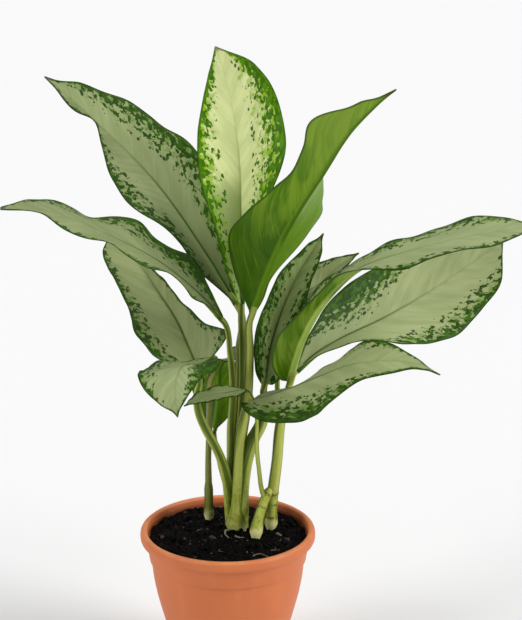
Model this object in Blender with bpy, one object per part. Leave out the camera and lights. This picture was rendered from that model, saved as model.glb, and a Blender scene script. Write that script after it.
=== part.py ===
"""Potted Chinese evergreen: a tapered plastic pot of soil with three leafy shoots.

Every size below is in millimetres. The origin is the middle of the pot's flat bottom, +Z is up,
and -Y is the side that the plant is looked at from.
"""
import math

import bmesh
import bpy
import numpy as np

MM = 0.001

# Clearance between pieces that touch in the real plant
GAP = 0.3

# Pot: a wall from the flat bottom up to its shoulder, then (radius, height) points of the wider
# band, the rolled lip and the mouth inside it
POT_SIDES = 56
BASE_RADIUS = 42.5
BASE_CORNER = 1.2
WALL = 2.5
FLOOR = 3.0
SHOULDER_HEIGHT = 102.0
SHOULDER_RADIUS = 65.6
WALL_BULGE = 2.4
WALL_RINGS = (20, 40, 60, 80, SHOULDER_HEIGHT)
BAND = ((67.2, 103.6), (68.6, 113), (70.4, 119))
LIP = ((74.2, 121), (75, 123), (75, 127), (74.1, 129.1), (72.4, 130))
MOUTH_RADIUS = 68.7
MOUTH_HEIGHT = 124.0
MOUTH = ((70.3, 130), (69, 129), (MOUTH_RADIUS, MOUTH_HEIGHT))
DRAIN_RADIUS = 4.0
DRAIN_CIRCLE = 27.0
DRAIN_COUNT = 5
DRAIN_SIDES = 16

# Soil
SOIL_EDGE = 121.5
SOIL_MOUND = 2.5
SOIL_BUMP = 0.9
SOIL_SIDES = 44
SOIL_RINGS = 6
ROOT_DEPTH = 26.0
HOLE_PLAY = 0.5
HOLE_SIDES = 20

# Leaf blades: columns run across a blade from its left margin, -1, to its right one, 1
BLADE_ROWS = 19
SMALL_BLADE_ROWS = 13
BLADE_COLUMNS = (-1.0, -0.62, -0.14, 0.0, 0.14, 0.62, 1.0)
RISE_AT = (0.0, 0.25, 0.5, 0.75, 1.0)
BLADE_THICKNESS = 0.8
RIB_THICKNESS = 2.2
BASE_HALF_WIDTH = 1.8
TIP_HALF_WIDTH = 0.6
WAVE_SHIFT = 0.45
WAVE_FADE = 0.7

# Canes and leaf stalks
STEP = 13.0
STRAIGHT_END = 5.0
STRAIGHT_FOOT = (-4, 3)
CANE_ROUNDNESS = (4, 3)
STALK_ROUNDNESS = 2

POT_COLOUR = (0.62, 0.22, 0.10)
SOIL_COLOUR = (0.012, 0.009, 0.007)
STALK_COLOUR = (0.25, 0.33, 0.09)
SILVER_COLOUR = (0.34, 0.42, 0.22)
DARK_LEAF_COLOUR = (0.10, 0.22, 0.04)

# Each blade: its midrib from base to tip, the ways its upper face looks along it, the half widths
# left and right of the midrib, evenly spaced from a tenth to nine tenths of the length, how steeply
# each half rises from the midrib at RISE_AT, in degrees, and the margin's wave: height, waves along
# the blade, phase.
LEAVES = {
    "leaf_upper_left": dict(
        midrib=((8, 17, 325), (-19, 40, 364), (-62, 70, 418), (-105, 90, 458), (-128, 98, 478),
                (-156, 104, 501)),
        faces=((0.1, -1, 0.5), (0.2, -1, 0.6), (0.3, -1, 0.6)),
        left=(14, 22, 29, 14, 5), right=(8, 24, 44, 40, 15),
        rise_left=(50, 40, 10, -50, 0), rise_right=(10, 10, 8, -10, 0), wave=(1.5, 3, 0.2)),
    "leaf_top": dict(
        midrib=((12, 8, 328), (12, 28, 402), (11, 38, 439), (6, 46, 480), (-4, 50, 521), (-9, 50, 536)),
        faces=((0.0, -1, 0.2), (-0.15, -1, 0.2), (-0.3, -1, 0.1)),
        left=(11, 25, 34, 29, 13), right=(9, 23, 39, 43, 27),
        rise_left=(65, 40, 20, 10, 5), rise_right=(65, 50, 30, 12, 5), wave=(1.5, 3, 0.2)),
    "leaf_front": dict(
        midrib=((21, -8, 324), (31, -18, 356), (43, -32, 390), (62, -48, 429), (75, -54, 451), (99, -56, 489),
                (129, -52, 519)),
        faces=((0.1, 1, 0.3), (-0.1, 1, 0.4), (-0.3, 1, 0.3)),
        left=(10, 29, 40, 32, 12), right=(21, 34, 41, 36, 28, 23, 24, 26, 13),
        rise_left=(20, 42, 56, 88, 80), rise_right=(20, 10, 5, 5, 5), wave=(1.5, 3, 0.3)),
    "leaf_far_left": dict(
        midrib=((-4, -2, 319), (-18, -8, 337), (-53, -24, 373), (-100, -38, 403), (-143, -46, 422),
                (-178, -48, 424)),
        faces=((0.2, -0.5, 1), (0.1, -0.35, 1), (0.0, -0.25, 1)),
        left=(14, 31, 32, 26, 8), right=(10, 25, 33, 34, 16),
        rise_left=(50, 30, 18, 5, 10), rise_right=(45, 15, 0, -18, 10), wave=(4, 3.5, 0.1)),
    "leaf_lower_left": dict(
        midrib=((-23, -6, 273), (-33, 16, 289), (-40, 32, 300), (-58, 66, 318), (-75, 96, 333),
                (-107, 134, 358)),
        faces=((0.2, -1, 0.7), (0.25, -1, 0.9), (0.2, -1, 1.0)),
        left=(28, 35, 37, 35, 32, 32, 31, 27, 19), right=(30, 20, 16, 13, 11, 9, 8, 6, 4),
        rise_left=(10, 5, 5, 5, 5), rise_right=(30, 45, 45, 40, 20), wave=(1.5, 3, 0.2)),
    "leaf_drooping": dict(
        midrib=((-12, -22, 291), (-21, -42, 293), (-31, -62, 299), (-36, -80, 301), (-39, -96, 294),
                (-39, -104, 283), (-37, -107, 270)),
        faces=((-0.2, -0.6, 1), (-0.15, -0.9, 0.8), (0, -1, 0.3)),
        left=(12, 18, 20, 18, 7), right=(12, 29, 35, 31, 11),
        rise_left=(20, 5, -5, -5, 0), rise_right=(0, -22, -20, -5, 0), wave=(1, 3, 0.2)),
    "leaf_small_front": dict(
        midrib=((14, -16, 261), (1, -34, 265), (-15, -50, 268), (-34, -60, 263)),
        faces=((0, 0, 1), (0, 0, 1), (0, 0, 1)),
        left=(8, 14, 15, 12, 5), right=(8, 14, 15, 12, 5),
        rise_left=(20, 10, 0, 0, 0), rise_right=(20, 10, 0, 0, 0), wave=(1, 2, 0.2)),
    "leaf_lower_right": dict(
        midrib=((18, -16, 248), (26, -25, 256), (36, -34, 263), (54, -48, 275), (77, -60, 289), (99, -70, 301),
                (127, -74, 306), (149, -74, 304), (172, -70, 293)),
        faces=((-0.6, -0.2, 0.7), (-0.1, -0.7, 1), (-0.1, -0.7, 1), (0.0, -0.5, 1), (0.1, -0.5, 1)),
        left=(12, 26, 28, 22, 6), right=(24, 33, 34, 17, 5),
        rise_left=(0, -45, -20, 5, 0), rise_right=(60, -5, 5, -5, 0), wave=(2, 2.5, 0.4)),
    "leaf_right": dict(
        midrib=((58, -6, 274), (76, 10, 285), (92, 22, 291), (134, 50, 303), (174, 74, 319), (210, 90, 339),
                (239, 98, 358)),
        faces=((-0.2, -1, 0.6), (-0.3, -1, 0.6), (-0.3, -1, 0.5)),
        left=(14, 36, 41, 34, 12), right=(9, 27, 42, 43, 27),
        rise_left=(40, 20, 10, 5, 5), rise_right=(60, 45, 10, -5, 0), wave=(2, 2.5, 0.1)),
    "leaf_far_right": dict(
        midrib=((52, -15, 268), (56, -20, 285), (62, -28, 307), (75, -40, 338), (88, -48, 358), (104, -54, 375),
                (146, -60, 393), (193, -60, 405), (255, -54, 413)),
        faces=((-0.5, 0.8, 0.2), (-0.5, 0.6, 0.6), (0.0, -0.05, 1), (0, -0.1, 1), (0, -0.2, 1)),
        left=(16, 19, 22, 27, 18, 24, 31, 29, 18), right=(19, 8, 12, 12, 15, 21, 25, 23, 14),
        rise_left=(50, 60, 10, 5, 5), rise_right=(25, 40, -5, -5, 5), wave=(3, 3.5, 0.3)),
    "leaf_spotted": dict(
        midrib=((32, 0, 260), (36, 10, 287), (44, 20, 312), (61, 32, 349), (81, 40, 380)),
        faces=((0.4, -1, 0.2), (0.3, -1, 0.3), (0.4, -1, 0.3)),
        left=(14, 22, 18, 17, 8), right=(12, 20, 20, 18, 8),
        rise_left=(40, 30, 20, 15, 10), rise_right=(50, 60, 62, 60, 30), wave=(1, 3, 0.2)),
    "leaf_inner": dict(
        midrib=((44, 18, 297), (56, 32, 318), (68, 40, 329), (79, 48, 334), (91, 56, 344), (112, 66, 356)),
        faces=((-0.4, -0.6, 1), (-0.4, -0.6, 1), (-0.3, -0.6, 1)),
        left=(10, 19, 22, 17, 6), right=(12, 20, 18, 12, 5),
        rise_left=(30, 20, 10, 5, 10), rise_right=(40, 30, 20, 10, 10), wave=(1, 3, 0.2)),
    "leaf_small_back": dict(
        midrib=((-11, 26, 211), (-8, 33, 233), (-7, 38, 250), (-6, 40, 262), (0, 38, 271), (13, 33, 275)),
        faces=((0.1, 1, 0.2), (0.1, 1, 0.3), (0.0, 0.3, 1)),
        left=(8, 12, 12, 10, 4), right=(10, 14, 15, 12, 4),
        rise_left=(20, 20, 20, 15, 10), rise_right=(20, 15, 10, 5, 10), wave=(1, 2, 0.2)),
}
DARK_LEAVES = ("leaf_front", "leaf_spotted")
SMALL_LEAVES = ("leaf_drooping", "leaf_small_front", "leaf_spotted", "leaf_inner", "leaf_small_back")

# Each shoot: the canes that stand in the soil, as (foot x, foot y), route above the soil and radii
# along it, and the leaf stalks, each with the leaf it carries. A stalk ends at its leaf's base.
SHOOTS = {
    "shoot_main": dict(
        canes=(
            dict(foot=(7, 18), route=((8, 17, 153), (9, 15, 177)), radii=(9.8, 9.8, 9.8, 9.0, 7.0), leaf=None),
        ),
        stalks=(
            dict(leaf="leaf_far_left", radii=(4.2, 4.0, 3.6, 3.0, 2.8, 2.4),
                 route=((3, 14, 159), (3, 10, 188), (3, 5, 217), (5, 0, 255), (3, -3, 287))),
            dict(leaf="leaf_upper_left", radii=(4.5, 4.0, 3.6, 3.2, 2.8),
                 route=((6, 17, 157), (6, 20, 193), (9, 21, 238), (10, 19, 284))),
            dict(leaf="leaf_top", radii=(4.5, 4.0, 3.6, 3.2, 2.8),
                 route=((9, 16, 158), (10, 14, 195), (13, 14, 241), (13, 11, 287))),
            dict(leaf="leaf_front", radii=(5.0, 4.5, 4.0, 3.5, 2.8),
                 route=((11, 12, 159), (11, 6, 199), (17, 0, 246), (19, -6, 292))),
            dict(leaf="leaf_lower_left", radii=(5.0, 4.5, 4.2, 4.0, 4.0, 3.6, 3.0, 2.6),
                 route=((1, 14, 143), (0, 8, 166), (-4, 2, 188), (-11, -6, 209), (-18, -10, 224),
                        (-24, -13, 242), (-25, -12, 255))),
            dict(leaf="leaf_lower_right", radii=(5.5, 5.0, 4.8, 4.4, 4.2, 3.6, 2.8),
                 route=((7, 12, 132), (8, 8, 155), (9, 4, 176), (10, 0, 200), (12, -6, 221), (14, -10, 233))),
            dict(leaf="leaf_spotted", radii=(5.0, 5.5, 5.5, 5.0, 3.8, 2.8),
                 route=((13, 10, 170), (16, 6, 188), (21, 2, 208), (29, 0, 226), (32, 0, 241))),
            dict(leaf="leaf_small_back", radii=(3.4, 2.8, 2.4, 2.2, 2.0),
                 route=((3, 19, 146), (-3, 21, 166), (-8, 22, 186))),
        )),
    "shoot_left": dict(
        canes=(
            dict(foot=(-17, 31), leaf="leaf_drooping",
                 radii=(3.8, 3.8, 3.8, 3.9, 3.0, 2.6, 2.6, 2.6, 2.6, 2.4),
                 route=((-17, 29, 154), (-17, 28, 160), (-17, 26, 182), (-16, 18, 208), (-15, 0, 241),
                        (-14, -14, 269))),
        ),
        stalks=()),
    "shoot_right": dict(
        canes=(
            dict(foot=(37, 12), radii=(5.0, 5.0, 5.0, 5.0, 4.5, 4.4, 3.8, 3.0), leaf="leaf_far_right",
                 route=((38, 11, 151), (42, 7, 189), (44, 2, 218), (48, -6, 247))),
            dict(foot=(24, -7), radii=(5.0, 5.0, 5.0, 4.6, 4.4, 3.8), leaf=None,
                 route=((26, -3, 138), (31, 4, 152), (37, 9, 164))),
        ),
        stalks=(
            dict(leaf="leaf_small_front", radii=(2.4, 2.0, 1.8, 1.8, 1.8, 1.8, 1.8, 1.8),
                 route=((32, 6, 153), (29, 2, 164), (27, -4, 182), (25, -8, 206), (25, -8, 218), (25, -6, 232),
                        (20, -8, 252))),
            dict(leaf="leaf_right", radii=(3.0, 3.0, 2.8, 2.4),
                 route=((44, 3, 212), (47, 0, 232), (52, -4, 254))),
            dict(leaf="leaf_inner", radii=(2.8, 2.6, 2.4, 2.2, 2.0),
                 route=((44, 4, 212), (43, 8, 234), (42, 14, 259), (43, 18, 284))),
        )),
}


def remove_all():
    for thing in list(bpy.data.objects):
        bpy.data.objects.remove(thing)


def material(name, colour, roughness):
    made = bpy.data.materials.new(name)
    made.use_nodes = True
    shader = made.node_tree.nodes["Principled BSDF"]
    shader.inputs["Base Color"].default_value = (*colour, 1.0)
    shader.inputs["Roughness"].default_value = roughness
    shader.inputs["Metallic"].default_value = 0.0
    made.diffuse_color = (*colour, 1.0)
    return made


def add_object(name, data, finish=None):
    made = bpy.data.objects.new(name, data)
    bpy.context.scene.collection.objects.link(made)
    if finish:
        data.materials.append(finish)
    return made


def mesh_from(bm, name):
    mesh = bpy.data.meshes.new(name)
    bm.to_mesh(mesh)
    bm.free()
    return mesh


def through(places, values, wanted):
    """A smooth curve through values at the given places, read at the wanted places."""
    places = np.array(places, float)
    values = np.array(values, float).reshape(len(places), -1)
    wanted = np.array(wanted, float)
    slopes = np.gradient(values, places, axis=0)
    low = np.clip(np.searchsorted(places, wanted, side="right") - 1, 0, len(places) - 2)
    span = (places[low + 1] - places[low])[:, None]
    t = (wanted - places[low])[:, None] / span
    start, end = values[low], values[low + 1]
    leave, arrive = slopes[low] * span, slopes[low + 1] * span
    return (start * (2 * t**3 - 3 * t**2 + 1) + leave * (t**3 - 2 * t**2 + t)
            + end * (3 * t**2 - 2 * t**3) + arrive * (t**3 - t**2))


def even_curve(points, count):
    """Evenly spaced points on a smooth curve through the given ones."""
    points = np.array(points, float)
    chord = np.concatenate([[0], np.cumsum(np.linalg.norm(np.diff(points, axis=0), axis=1))])
    fine = through(chord, points, np.linspace(0, chord[-1], 400))
    run = np.concatenate([[0], np.cumsum(np.linalg.norm(np.diff(fine, axis=0), axis=1))])
    return through(run, fine, np.linspace(0, run[-1], count))


def unit(vectors):
    return vectors / np.linalg.norm(vectors, axis=-1, keepdims=True)


def turned(profile, sides):
    """A closed solid of revolution about Z from a profile of (radius, height) points."""
    bm = bmesh.new()
    points = [bm.verts.new((r * MM, 0, z * MM)) for r, z in profile]
    edges = [bm.edges.new(pair) for pair in zip(points[:-1], points[1:])]
    bmesh.ops.spin(bm, geom=points + edges, cent=(0, 0, 0), axis=(0, 0, 1), angle=2 * math.pi, steps=sides)
    bmesh.ops.remove_doubles(bm, verts=bm.verts, dist=0.00001)
    bmesh.ops.recalc_face_normals(bm, faces=bm.faces)
    bmesh.ops.triangulate(bm, faces=bm.faces)
    return bm


def outer_radius(z):
    """The pot's tapered wall, fullest a little under its shoulder."""
    part = z / SHOULDER_HEIGHT
    return BASE_RADIUS + (SHOULDER_RADIUS - BASE_RADIUS) * part + WALL_BULGE * math.sin(math.pi * part**2)


def inner_radius(z):
    if z < SHOULDER_HEIGHT:
        return outer_radius(z) - WALL
    shoulder = SHOULDER_RADIUS - WALL
    part = (z - SHOULDER_HEIGHT) / (MOUTH_HEIGHT - SHOULDER_HEIGHT)
    return shoulder + (MOUTH_RADIUS - shoulder) * part


def pot_profile():
    wall = [(outer_radius(z), z) for z in (BASE_CORNER, *WALL_RINGS)]
    inside = [(inner_radius(z), z) for z in (SHOULDER_HEIGHT, 60, FLOOR)]
    return [(0, 0), (BASE_RADIUS - BASE_CORNER, 0), *wall, *BAND, *LIP, *MOUTH, *inside, (0, FLOOR)]


def make_pot(finish):
    pot = add_object("pot", mesh_from(turned(pot_profile(), POT_SIDES), "pot"), finish)
    drains = []
    for k in range(DRAIN_COUNT):
        angle = 2 * math.pi * (k + 0.5) / DRAIN_COUNT
        centre = (DRAIN_CIRCLE * math.cos(angle), DRAIN_CIRCLE * math.sin(angle), FLOOR / 2)
        drains.append(plug("drain_%d" % k, centre, DRAIN_RADIUS, FLOOR * 3, DRAIN_SIDES))
    cut(pot, drains)
    smooth(pot)


def plug(name, centre, radius, height, sides):
    """A plain upright cylinder, used to cut a hole."""
    bm = bmesh.new()
    bmesh.ops.create_cone(bm, cap_ends=True, segments=sides, radius1=radius * MM, radius2=radius * MM,
                          depth=height * MM)
    bmesh.ops.translate(bm, verts=bm.verts, vec=[v * MM for v in centre])
    return add_object(name, mesh_from(bm, name))


def apply_modifiers(thing):
    graph = bpy.context.evaluated_depsgraph_get()
    mesh = bpy.data.meshes.new_from_object(thing.evaluated_get(graph))
    thing.modifiers.clear()
    thing.data = mesh


def gather(name, things):
    group = bpy.data.collections.new(name)
    bpy.context.scene.collection.children.link(group)
    for thing in things:
        bpy.context.scene.collection.objects.unlink(thing)
        group.objects.link(thing)
    return group


def join_group(thing, others, operation):
    """One Boolean with all the others at once, applied, and the others removed."""
    group = gather(thing.name + "_others", others)
    boolean = thing.modifiers.new(operation.lower(), "BOOLEAN")
    boolean.operation = operation
    boolean.solver = "EXACT"
    boolean.operand_type = "COLLECTION"
    boolean.collection = group
    apply_modifiers(thing)
    for other in others:
        bpy.data.objects.remove(other)
    bpy.data.collections.remove(group)


def cut(thing, cutters):
    join_group(thing, cutters, "DIFFERENCE")


def smooth(thing):
    thing.data.shade_smooth()
    thing.data.set_sharp_from_angle(angle=math.radians(35))


def soil_height(x, y):
    """The mounded, lumpy top of the soil."""
    mound = SOIL_MOUND * (1 - math.hypot(x, y) ** 2 / MOUTH_RADIUS**2)
    lumps = math.sin(0.23 * x + 1.1) * math.cos(0.19 * y - 0.4) + 0.6 * math.sin(0.41 * x - 0.37 * y)
    return SOIL_EDGE + mound + SOIL_BUMP * lumps


def make_soil(finish):
    """The potting soil, filling the pot, with a plain blind hole for each cane."""
    bottom = FLOOR + GAP
    wall = [(inner_radius(z) - 2 * GAP, z) for z in (bottom, 60, SHOULDER_HEIGHT, SOIL_EDGE)]
    edge = wall[-1][0]
    top = [(edge * (SOIL_RINGS - k) / SOIL_RINGS, SOIL_EDGE) for k in range(1, SOIL_RINGS + 1)]
    bm = turned([(0, bottom), *wall, *top], SOIL_SIDES)
    for vert in bm.verts:
        x, y, z = (value / MM for value in vert.co)
        if z > SOIL_EDGE - 1:
            vert.co.z = soil_height(x, y) * MM
    soil = add_object("soil", mesh_from(bm, "soil"), finish)
    holes = []
    for name, shoot in SHOOTS.items():
        for k, cane in enumerate(shoot["canes"]):
            radius = cane["radii"][0] + HOLE_PLAY
            holes.append(plug("%s_hole_%d" % (name, k), (*cane["foot"], SOIL_EDGE), radius, 2 * ROOT_DEPTH,
                              HOLE_SIDES))
    cut(soil, holes)
    smooth(soil)


def blade_frame(leaf, rows):
    """Points along the midrib, with the blade's direction, its upper face's and its right side's."""
    midrib = even_curve(leaf["midrib"], rows)
    along = unit(np.gradient(midrib, axis=0))
    faces = unit(np.array(leaf["faces"], float))
    looks = through(np.linspace(0, 1, len(faces)), faces, np.linspace(0, 1, rows))
    up = unit(looks - (looks * along).sum(1)[:, None] * along)
    return midrib, along, up, np.cross(along, up)


def blade_faces(leaf, rows):
    """Grids of points on the blade's upper and lower faces: a row for each step from base to tip."""
    midrib, along, up, right = blade_frame(leaf, rows)
    u = np.linspace(0, 1, rows)
    height, waves, phase = leaf["wave"]
    upper, lower = [], []
    for s in BLADE_COLUMNS:
        side = "left" if s < 0 else "right"
        half_widths = (BASE_HALF_WIDTH, *leaf[side], TIP_HALF_WIDTH)
        width_at = (0, *np.linspace(0.1, 0.9, len(leaf[side])), 1)
        width = np.maximum(through(width_at, half_widths, u)[:, 0], TIP_HALF_WIDTH)
        rise = np.radians(through(RISE_AT, leaf["rise_" + side], u)[:, 0])
        turn = waves * u + phase + (WAVE_SHIFT if s > 0 else 0)
        wave = s * s * height * np.sin(math.pi * u) ** WAVE_FADE * np.sin(2 * math.pi * turn)
        across = s * width * np.cos(rise)
        lift = abs(s) * width * np.sin(rise) + wave
        face = midrib + across[:, None] * right + lift[:, None] * up
        tilt = (np.sign(s) * rise)[:, None]
        outward = up * np.cos(tilt) - right * np.sin(tilt)
        thickness = BLADE_THICKNESS + RIB_THICKNESS * (1 - u) * (s == 0)
        upper.append(face)
        lower.append(face - thickness[:, None] * outward)
    return np.array(upper).transpose(1, 0, 2), np.array(lower).transpose(1, 0, 2)


def make_blade(name, leaf, finish):
    """A closed blade: two faces split into triangles alike, joined round the margin."""
    rows = SMALL_BLADE_ROWS if name in SMALL_LEAVES else BLADE_ROWS
    columns = len(BLADE_COLUMNS)
    bm = bmesh.new()
    top, under = ([[bm.verts.new(p * MM) for p in row] for row in face] for face in blade_faces(leaf, rows))

    def panel(a, b, c, d):
        bm.faces.new((a, b, c))
        bm.faces.new((a, c, d))

    for i in range(rows - 1):
        for j in range(columns - 1):
            corners = [(i, j), (i, j + 1), (i + 1, j + 1), (i + 1, j)]
            if j >= columns // 2:
                corners = corners[1:] + corners[:1]
            panel(*(top[r][c] for r, c in corners))
            a, b, c, d = (under[r][c] for r, c in corners)
            panel(a, d, c, b)
        panel(top[i][0], top[i + 1][0], under[i + 1][0], under[i][0])
        panel(top[i + 1][-1], top[i][-1], under[i][-1], under[i + 1][-1])
    for j in range(columns - 1):
        panel(top[0][j + 1], top[0][j], under[0][j], under[0][j + 1])
        panel(top[-1][j], top[-1][j + 1], under[-1][j + 1], under[-1][j])
    bmesh.ops.recalc_face_normals(bm, faces=bm.faces)
    smooth(add_object(name, mesh_from(bm, name), finish))


def stalk_end(leaf):
    """The last two points of a stalk, straight along the base of the blade that it carries."""
    midrib, along, up, right = blade_frame(leaf, BLADE_ROWS)
    end = midrib[0] - GAP * along[0] - up[0] * (BLADE_THICKNESS + RIB_THICKNESS) / 2
    return [tuple(end - STRAIGHT_END * along[0]), tuple(end)]


def make_stem(name, route, radii, roundness):
    """A round stem along a smooth route, as a closed mesh. The last radius goes on to its end."""
    route = np.array(route, float)
    radii = [*radii, *[radii[-1]] * (len(route) - len(radii))]
    chord = np.concatenate([[0], np.cumsum(np.linalg.norm(np.diff(route, axis=0), axis=1))])
    places = [0.0]
    for start, end in zip(chord[:-1], chord[1:]):
        steps = math.ceil((end - start) / STEP)
        places += [start + (end - start) * (k + 1) / steps for k in range(steps)]
    points = through(chord, route, places)
    curve = bpy.data.curves.new(name, "CURVE")
    curve.dimensions = "3D"
    curve.bevel_depth = MM
    curve.bevel_resolution = roundness
    curve.use_fill_caps = True
    spline = curve.splines.new("POLY")
    spline.points.add(len(points) - 1)
    for point, place, radius in zip(spline.points, points, np.interp(places, chord, radii)):
        point.co = (*(place * MM), 1.0)
        point.radius = radius
    thing = add_object(name, curve)
    mesh = bpy.data.meshes.new_from_object(thing.evaluated_get(bpy.context.evaluated_depsgraph_get()))
    bpy.data.objects.remove(thing)
    bm = bmesh.new()
    bm.from_mesh(mesh)
    bmesh.ops.remove_doubles(bm, verts=bm.verts, dist=0.00001)
    bmesh.ops.recalc_face_normals(bm, faces=bm.faces)
    return add_object(name, mesh_from(bm, name))


def make_shoot(name, shoot, finish):
    """A shoot's canes, rooted in the soil, grown together with the stalks that leave them."""
    stems = []
    for k, cane in enumerate(shoot["canes"]):
        x, y = cane["foot"]
        foot = [(x, y, SOIL_EDGE + z) for z in (GAP - ROOT_DEPTH, *STRAIGHT_FOOT)]
        route = [*foot, *cane["route"]]
        if cane["leaf"]:
            route += stalk_end(LEAVES[cane["leaf"]])
        stems.append(make_stem("%s_cane_%d" % (name, k), route, cane["radii"], CANE_ROUNDNESS[k]))
    for stalk in shoot["stalks"]:
        route = [*stalk["route"], *stalk_end(LEAVES[stalk["leaf"]])]
        stems.append(make_stem(stalk["leaf"] + "_stalk", route, stalk["radii"], STALK_ROUNDNESS))
    whole = stems[0]
    whole.name = name
    whole.data.name = name
    if stems[1:]:
        join_group(whole, stems[1:], "UNION")
    whole.data.materials.clear()
    whole.data.materials.append(finish)
    smooth(whole)


def main():
    remove_all()
    make_pot(material("terracotta_plastic", POT_COLOUR, 0.55))
    make_soil(material("dark_soil", SOIL_COLOUR, 0.95))
    for name, shoot in SHOOTS.items():
        make_shoot(name, shoot, material(name + "_green", STALK_COLOUR, 0.5))
    for name, leaf in LEAVES.items():
        colour = DARK_LEAF_COLOUR if name in DARK_LEAVES else SILVER_COLOUR
        make_blade(name, leaf, material(name + "_green", colour, 0.4))


main()
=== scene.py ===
"""The looks of a potted Chinese evergreen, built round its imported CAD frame.

Sizes in the tables are in millimetres, in the row frame: the origin is the middle of the pot's flat
bottom, +Z is up, and -Y is the side that the plant is looked at from.
"""

import math

import bmesh
import bpy
import numpy as np
from bpy.props import FloatProperty, FloatVectorProperty, IntProperty, PointerProperty
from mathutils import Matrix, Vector, noise


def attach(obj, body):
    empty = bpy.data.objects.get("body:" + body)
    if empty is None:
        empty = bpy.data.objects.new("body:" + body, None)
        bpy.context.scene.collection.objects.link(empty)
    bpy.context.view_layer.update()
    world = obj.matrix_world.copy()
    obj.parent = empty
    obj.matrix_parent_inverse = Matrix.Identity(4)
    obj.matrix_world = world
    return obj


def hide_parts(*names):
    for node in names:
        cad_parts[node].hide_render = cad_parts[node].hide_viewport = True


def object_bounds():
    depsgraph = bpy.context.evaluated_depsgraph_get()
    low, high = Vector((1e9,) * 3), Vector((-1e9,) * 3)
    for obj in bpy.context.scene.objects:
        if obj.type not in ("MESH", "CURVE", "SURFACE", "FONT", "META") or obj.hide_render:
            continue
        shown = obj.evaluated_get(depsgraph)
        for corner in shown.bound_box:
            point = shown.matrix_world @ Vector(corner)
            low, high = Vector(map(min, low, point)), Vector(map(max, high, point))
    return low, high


bl_info = {
    "name": "Potted Chinese evergreen",
    "version": (1, 0, 0),
    "blender": (4, 5, 0),
    "location": "3D View > Sidebar > Evergreen",
    "description": "The leaves, shoots, soil and pot of a potted Chinese evergreen",
    "category": "Object",
}

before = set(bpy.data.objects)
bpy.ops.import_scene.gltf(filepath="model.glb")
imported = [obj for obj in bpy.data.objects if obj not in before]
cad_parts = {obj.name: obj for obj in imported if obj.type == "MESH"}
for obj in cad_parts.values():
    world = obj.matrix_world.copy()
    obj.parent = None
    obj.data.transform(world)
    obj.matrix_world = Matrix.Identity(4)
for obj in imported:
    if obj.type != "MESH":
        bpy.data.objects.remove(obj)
CAD_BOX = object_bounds()

MM = 0.001
BOX_PLAY = 0.0002

# Each blade: its midrib from base to tip, the ways its upper face looks along it, and the half widths
# left and right of the midrib, evenly spaced from a tenth to nine tenths of the length. Then, at the
# shares of the length in RISE_AT: how steeply each half rises from the midrib, in degrees, the share of
# each half that its green band takes, and how much fuller than usual the band is (dense). The margin's
# wave is its height, its waves along the blade and its phase. A bump widens one half: where along the
# blade, how far it spreads, and by how much. The curl moves the tip, the tail is how much the blade
# narrows just before it, and paint and under name the paints of its two faces.
RISE_AT = (0.0, 0.25, 0.5, 0.75, 1.0)


def blade(**shape):
    """One row of the table below, with the usual value of whatever it leaves out."""
    usual = dict(wave=(1.5, 3, 0.2), curl=(0, 0, 0), tail=0.4, under="green")
    for side in ("left", "right"):
        usual["band_" + side] = (0.3, 0.3, 0.3, 0.3, 0.3)
        usual["dense_" + side] = (0, 0, 0, 0, 0)
        usual["bumps_" + side] = ()
    return {**usual, **shape}


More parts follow.
